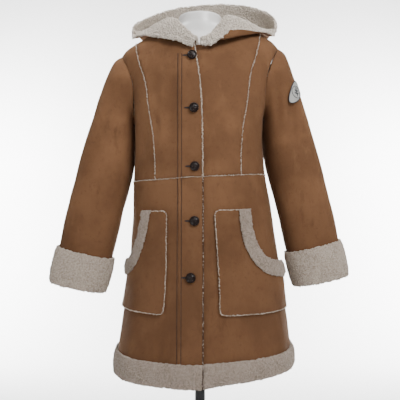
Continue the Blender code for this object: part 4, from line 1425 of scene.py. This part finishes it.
@dataclass
class Topstitching:
    """The placket's double row of stitches, with a low ridge of folded suede between."""

    row_x: tuple[float, ...] = (-0.0497, -0.0420)
    top_z: float = 1.296
    low_z: float = 0.604
    steps: int = 140
    stitch: Stitch = Stitch(0.0042, 0.0034, 0.0009, SEWING_THREAD)
    stitch_rise: float = 0.0002
    ridge_radius: float = 0.0042
    ridge_depth: float = 0.0031
    shade_x: tuple[float, ...] = (-0.0507, -0.0411)
    shade_radius: float = 0.0007

    def plumb(self, jacket: Jacket, x: float) -> Line:
        """A line down the lapping front at one X."""
        fall = (self.low_z - self.top_z) / self.steps
        places = [(x, self.top_z + fall * k) for k in range(self.steps + 1)]
        return jacket.seen(places, "bodice_centre_front_right", "skirt_front_right")

    def build(self, jacket: Jacket) -> None:
        """Sews the rows, lays the ridge and shades its two sides.

        Args:
            jacket: The jacket.
        """
        name = "placket_stitching"
        rows = [
            jacket.sewn(name, self.plumb(jacket, x).raised(self.stitch_rise), self.stitch) for x in self.row_x
        ]
        merged_piece(name, rows, "suede")
        middle = self.plumb(jacket, sum(self.row_x) / len(self.row_x)).raised(-self.ridge_depth)
        jacket.cords("placket_ridge", [middle], self.ridge_radius, SUEDE)
        shades = [self.plumb(jacket, x) for x in self.shade_x]
        jacket.cords("placket_shade", shades, self.shade_radius, SEAM_SHADE)


# ---------------------------------------------------------------- buttons and badge


@dataclass
class Buttons:
    """Domed buttons of four interlaced leather straps, each with its stitched buttonhole."""

    count: int = 5
    rings: int = 14
    spokes: int = 48
    straps: int = 4
    twist: float = 0.55
    crown: float = 0.72
    shank: float = 0.30
    dome_foot: float = 0.32
    dome_rise: float = 0.68
    dome_share: float = 0.97
    strap_round: float = 0.45
    strap_low: float = 0.55
    strap_tilt: float = 0.45
    strap_middle: float = 0.9
    strap_relief: float = 0.18
    strap_start: float = 0.2
    strap_end: float = 0.15
    rim_share: float = 0.87
    rim_width: float = 0.075
    rim_height: float = 0.34
    edge_share: float = 0.90
    edge_drop: float = 0.22
    underside: tuple[tuple[float, float], ...] = ((1.0, 0.18), (0.90, 0.04), (0.5, 0.0))
    slit_away: float = 0.008
    slit_length: float = 0.0135
    slit_width: float = 0.0016
    slit_steps: int = 12
    slit_blunt: float = 0.1
    slit_rise: float = 0.0004
    slit_thickness: float = 0.0003
    thread_rise: float = 0.0003
    waist_z: float = 1.0145
    # the buttonhole thread is given the seam-shade colour: painted shade of the slit
    stitch: Stitch = Stitch(0.0009, 0.0012, 0.0011, SEAM_SHADE)

    def axis_of(self, node: str) -> tuple[Vector, Vector, float, float]:
        """Where a button of the frame sits.

        Args:
            node: Its node.

        Returns:
            The middle of its underside, its outward axis, its radius and its height.
        """
        points = positions(bpy.data.objects[node].data)
        middle = (points.max(0) + points.min(0)) / 2
        _, _, axes = np.linalg.svd(points - points.mean(0))
        axis = axes[2] if axes[2][1] < 0 else -axes[2]
        along = (points - middle) @ axis
        foot = middle + axis * along.min()
        across = np.linalg.norm(points - foot - np.outer((points - foot) @ axis, axis), axis=1)
        return Vector(foot), Vector(axis), float(across.max()), float(along.max() - along.min())

    def height_at(self, share: float, angle: float) -> float:
        """How high the woven dome stands.

        Args:
            share: How far out, as a share of the radius.
            angle: The angle round the axis.

        Returns:
            A share of the button's height.
        """
        inner = min(share / self.crown, 1)
        dome = self.dome_foot + self.dome_rise * math.sqrt(max(1 - (inner * self.dome_share) ** 2, 0))
        place = (self.straps * angle / math.tau + self.twist * share) % 1
        strap = math.sin(math.pi * place) ** self.strap_round * (self.strap_low + self.strap_tilt * place)
        shown = min(inner / self.strap_start, 1) * min((1 - inner) / self.strap_end, 1)
        woven = (strap - self.strap_middle) * shown * self.strap_relief
        rim = self.rim_height * math.exp(-(((share - self.rim_share) / self.rim_width) ** 2))
        drop = self.edge_drop * float(smooth_step(np.array(share), self.edge_share, 1.0))
        return self.shank + (1 - self.shank) * (dome + woven + (rim - drop))

    def dome(self, name: str, node: str) -> Mesh:
        """The mesh of one button.

        Args:
            name: The mesh's name.
            node: The frame's node that it stands for.

        Returns:
            The mesh.
        """
        foot, axis, radius, height = self.axis_of(node)
        turn = axis.to_track_quat("Z", "Y").to_matrix()
        angles = [math.tau * s / self.spokes for s in range(self.spokes)]

        def at(share: float, angle: float, rise: float) -> Vector:
            """A point at a share of the radius and a share of the height."""
            out = radius * share
            return foot + turn @ Vector((out * math.cos(angle), out * math.sin(angle), height * rise))

        shares = [r / self.rings for r in range(1, self.rings + 1)]
        rows = [[at(share, a, self.height_at(share, a)) for a in angles] for share in shares]
        rows += [[at(share, a, rise) for a in angles] for share, rise in self.underside]
        return capped(name, rows, at(0, 0, self.height_at(0, 0)), foot, BUTTON_LEATHER)

    def buttonhole(self, jacket: Jacket, name: str, foot: Vector) -> None:
        """Lays a dark strip of painted shade as a slit beside a button, and whips it round with thread.

        Args:
            jacket: The jacket.
            name: The piece's name.
            foot: The middle of the button's underside.
        """
        node = "bodice_centre_front_right" if foot.z > self.waist_z else "skirt_front_right"
        shares = [k / self.slit_steps for k in range(self.slit_steps + 1)]
        edges = []
        for width in (self.slit_width, -self.slit_width):
            places = [
                (
                    foot.x - self.slit_away - self.slit_length * t,
                    foot.z + width * math.sin(math.pi * (self.slit_blunt + (1 - 2 * self.slit_blunt) * t)),
                )
                for t in shares
            ]
            edges.append(jacket.seen(places, node))
        rows = [jacket.sewn(name, edge.raised(self.thread_rise), self.stitch) for edge in edges]
        shape = bmesh.new()
        upper, lower = ([shape.verts.new(p) for p in edge.raised(self.slit_rise).points] for edge in edges)
        for k in range(self.slit_steps):
            shape.faces.new((upper[k], upper[k + 1], lower[k + 1], lower[k]))
        bmesh.ops.solidify(shape, geom=list(shape.faces), thickness=self.slit_thickness)
        bmesh.ops.recalc_face_normals(shape, faces=shape.faces)
        # painted shade: a dark strip where the slit opens
        rows.append(mesh_of(shape, "slit", material_of(DARK_THREAD_AND_SLIT_SHADE)))
        merged_piece(name, rows, "suede")

    def build(self, jacket: Jacket) -> None:
        """Makes each button and its hole.

        Args:
            jacket: The jacket.
        """
        for number in range(1, self.count + 1):
            node = f"button_{number}"
            new_piece(f"woven_{node}", self.dome(f"woven_{node}", node), "button_leather", node)
            self.buttonhole(jacket, f"buttonhole_{number}", self.axis_of(node)[0])


@dataclass(frozen=True)
class Leaf:
    """One leaf of the badge's sprig: where its stalk starts, how far it leans and how long it is."""

    rise: float
    lean: float
    length: float


@dataclass
class SleeveBadge:
    """An embroidered badge with a dark whipped edge, a ring and a plain sprig of leaves."""

    flat: FlatCut = FlatCut("sleeve_badge", 0.048, 0.058, 0.0021)
    heart: tuple[float, float] = (0.19, 0.03)
    whip: Stitch = Stitch(0.0011, 0.0016, 0.0024, DARK_THREAD_AND_SLIT_SHADE)
    whip_spacing: float = 0.0015
    stem: tuple[float, float] = (-0.011, 0.006)
    leaves: tuple[Leaf, ...] = (
        Leaf(-0.006, 55, 0.0080),
        Leaf(-0.005, -58, 0.0080),
        Leaf(0.000, 44, 0.0072),
        Leaf(0.001, -48, 0.0072),
        Leaf(0.006, 0, 0.0060),
    )
    leaf_width: float = 0.30
    leaf_rows: int = 5
    ring: float = 0.0150
    ring_steps: int = 40
    stroke_steps: int = 10
    thread: float = 0.0007
    thread_rise: float = 0.4
    levels: int = 3

    def build(self, jacket: Jacket) -> None:
        """Makes the field, the edge and the sprig.

        Args:
            jacket: The jacket.
        """
        node = self.flat.node
        cut = jacket.cut(self.flat, heart=self.heart)
        mesh = cut.finer("sleeve_badge_field", self.levels, PALE_THREAD, PALE_THREAD, DARK_THREAD_AND_SLIT_SHADE)
        jacket.lay(self.flat, mesh, "badge_cloth")
        rim = jacket.snapped(smooth_line(cut.loops[0], self.whip_spacing, closed=True), node)
        new_piece("sleeve_badge_edge", jacket.sewn("edge", rim, self.whip), "badge_cloth")
        strokes = self.strokes(jacket, sum(cut.loops[0], Vector()) / len(cut.loops[0]))
        lines = [jacket.snapped(stroke, node).raised(self.thread * self.thread_rise) for stroke in strokes]
        jacket.cords("sleeve_badge_sprig", lines, self.thread, DARK_THREAD_AND_SLIT_SHADE, "badge_cloth")

    def strokes(self, jacket: Jacket, middle: Vector) -> list[list[Vector]]:
        """The stem, the ring and the leaves in satin stitch.

        Args:
            jacket: The jacket.
            middle: A point near the badge's middle.

        Returns:
            The points of each stroke.
        """
        out = jacket.snapped([middle], self.flat.node).normals[0]
        across = UP.cross(out).normalized()
        up = out.cross(across)
        low, high = self.stem
        shares = [k / self.stroke_steps for k in range(self.stroke_steps + 1)]
        turns = [math.tau * k / self.ring_steps for k in range(self.ring_steps + 1)]
        half = self.leaf_rows // 2
        strokes = [
            [middle + up * (low + (high - low) * t) for t in shares],
            [middle + (up * math.cos(a) + across * math.sin(a)) * self.ring for a in turns],
        ]
        for leaf in self.leaves:
            root = middle + up * leaf.rise
            lean = math.radians(leaf.lean)
            along = up * math.cos(lean) + across * math.sin(lean)
            aside = across * math.cos(lean) - up * math.sin(lean)
            for row in range(-half, half + 1):
                bulge = self.leaf_width * leaf.length * row / (2 * half)
                arcs = [(leaf.length * t, bulge * math.sin(math.pi * t)) for t in shares]
                strokes.append([root + along * far + aside * out for far, out in arcs])
        return strokes


# ---------------------------------------------------------------- the form and its stand


@dataclass
class DressForm:
    """The limbless form that carries the jacket, its pole and its base."""

    torso_crease: float = 0.6
    torso_levels: int = 2
    sharp: float = 30
    bevel: float = 0.002
    base_sides: int = 128
    pole_sides: int = 64

    def build(self) -> None:
        """Smooths the torso and turns the base and pole."""
        shape = solid_of("form_torso")
        crease_sharp(shape, self.torso_crease)
        coarse = mesh_of(shape, "torso", material_of(WHITE_SHELL))
        mesh = divided("form_torso_shell", coarse, self.torso_levels)
        new_piece(mesh.name, mesh, "form_shell", "form_torso")
        _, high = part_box("form_base")
        radius, top, bevel = high.x, high.z, self.bevel
        foot = ((0, 0), (radius - bevel / 2, 0), (radius, bevel / 2))
        plate = (*foot, (radius, top - bevel), (radius - bevel, top), (0, top))
        self.turned("form_base_plate", plate, "form_base", self.base_sides)
        low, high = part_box("form_pole")
        tube = ((0, low.z), (high.x, low.z), (high.x, high.z), (0, high.z))
        self.turned("form_pole_tube", tube, "form_pole", self.pole_sides)

    def turned(self, name: str, profile: Sequence[tuple[float, float]], node: str, sides: int) -> None:
        """Turns a round piece on the axis of the stand.

        Args:
            name: The piece's name.
            profile: Its radii and heights, from the axis to the axis.
            node: The frame's node that it stands for.
            sides: How many sides it has.
        """
        angles = [math.tau * k / sides for k in range(sides)]
        rows = [[Vector((r * math.cos(a), r * math.sin(a), z)) for a in angles] for r, z in profile[1:-1]]
        mesh = capped(name, rows, UP * profile[0][1], UP * profile[-1][1], BLACK_STEEL)
        mesh.set_sharp_from_angle(angle=math.radians(self.sharp))
        new_piece(name, mesh, "stand_steel", node)


# ---------------------------------------------------------------- the studio


@dataclass(frozen=True)
class Lamp:
    """One soft area lamp, aimed at the jacket or at the wall behind it."""

    name: str
    x: float
    y: float
    z: float
    size: float
    watts: float
    wall: bool = False


@dataclass
class Studio:
    """The pale floor and backdrop, the soft lamps and the camera."""

    camera_y: float = -1.45
    camera_z: float = 0.96
    lens: float = 53.1
    aim_z: float = 1.0
    wall_aim: float = 0.3
    floor_half: float = 6.0
    floor_back: float = 3.2
    bend: float = 1.2
    bend_steps: int = 16
    wall_top: float = 6.0
    lamps: tuple[Lamp, ...] = (
        Lamp("key lamp", 1.1, -1.8, 2.75, 1.2, 72),
        Lamp("fill lamp", -2.0, -2.2, 1.9, 2.2, 18),
        Lamp("top lamp", 0.0, 0.4, 3.0, 2.0, 40),
        Lamp("left wall lamp", -1.9, 1.9, 1.2, 1.0, 230, wall=True),
        Lamp("right wall lamp", 1.9, 1.9, 1.2, 1.0, 230, wall=True),
    )
    sky: float = 0.42

    def build(self) -> None:
        """Sets the studio up."""
        self.add_floor()
        for lamp in self.lamps:
            light = bpy.data.lights.new(lamp.name, "AREA")
            light.shape, light.size, light.energy = "DISK", lamp.size, lamp.watts
            holder = placed(lamp.name, light)
            holder.location = (lamp.x, lamp.y, lamp.z)
            aim = (lamp.x * self.wall_aim, self.floor_back, self.aim_z) if lamp.wall else (0, 0, self.aim_z)
            holder.rotation_euler = (Vector(aim) - holder.location).to_track_quat("-Z", "Y").to_euler()
        world = bpy.data.worlds.new("soft studio")
        world.use_nodes = True
        background = world.node_tree.nodes["Background"]
        background.inputs["Color"].default_value = (1, 1, 1, 1)
        background.inputs["Strength"].default_value = self.sky
        bpy.context.scene.world = world
        camera = bpy.data.cameras.new("photo camera")
        camera.lens = self.lens
        holder = placed("photo camera", camera)
        holder.location = (0, self.camera_y, self.camera_z)
        holder.rotation_euler = (math.pi / 2, 0, 0)
        bpy.context.scene.camera = holder

    def add_floor(self) -> None:
        """A floor that bends up into a wall behind the jacket."""
        start = self.floor_back - self.bend
        turns = [math.pi / 2 * k / self.bend_steps for k in range(self.bend_steps + 1)]
        profile = [(-self.floor_half, 0.0)]
        profile += [(start + self.bend * math.sin(a), self.bend * (1 - math.cos(a))) for a in turns]
        profile.append((self.floor_back, self.wall_top))
        shape = bmesh.new()
        rows = [[shape.verts.new((x, y, z)) for x in (-self.floor_half, self.floor_half)] for y, z in profile]
        for low, high in zip(rows, rows[1:]):
            shape.faces.new((low[0], low[1], high[1], high[0]))
        mesh = mesh_of(shape, "studio floor", material_of(PALE_PAPER))
        mesh.shade_smooth()
        placed("studio_floor", mesh)


def main() -> None:
    """Builds the jacket's looks round the frame."""
    logging.basicConfig(level=logging.INFO)
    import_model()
    Studio().build()
    jacket = Jacket()
    for maker in (SuedePanels(), WoolBands(), Hood(), SeamShades(), WoolWelts(), Topstitching(), Buttons()):
        maker.build(jacket)
    SleeveBadge().build(jacket)
    DressForm().build()


if __name__ == "__main__":
    main()
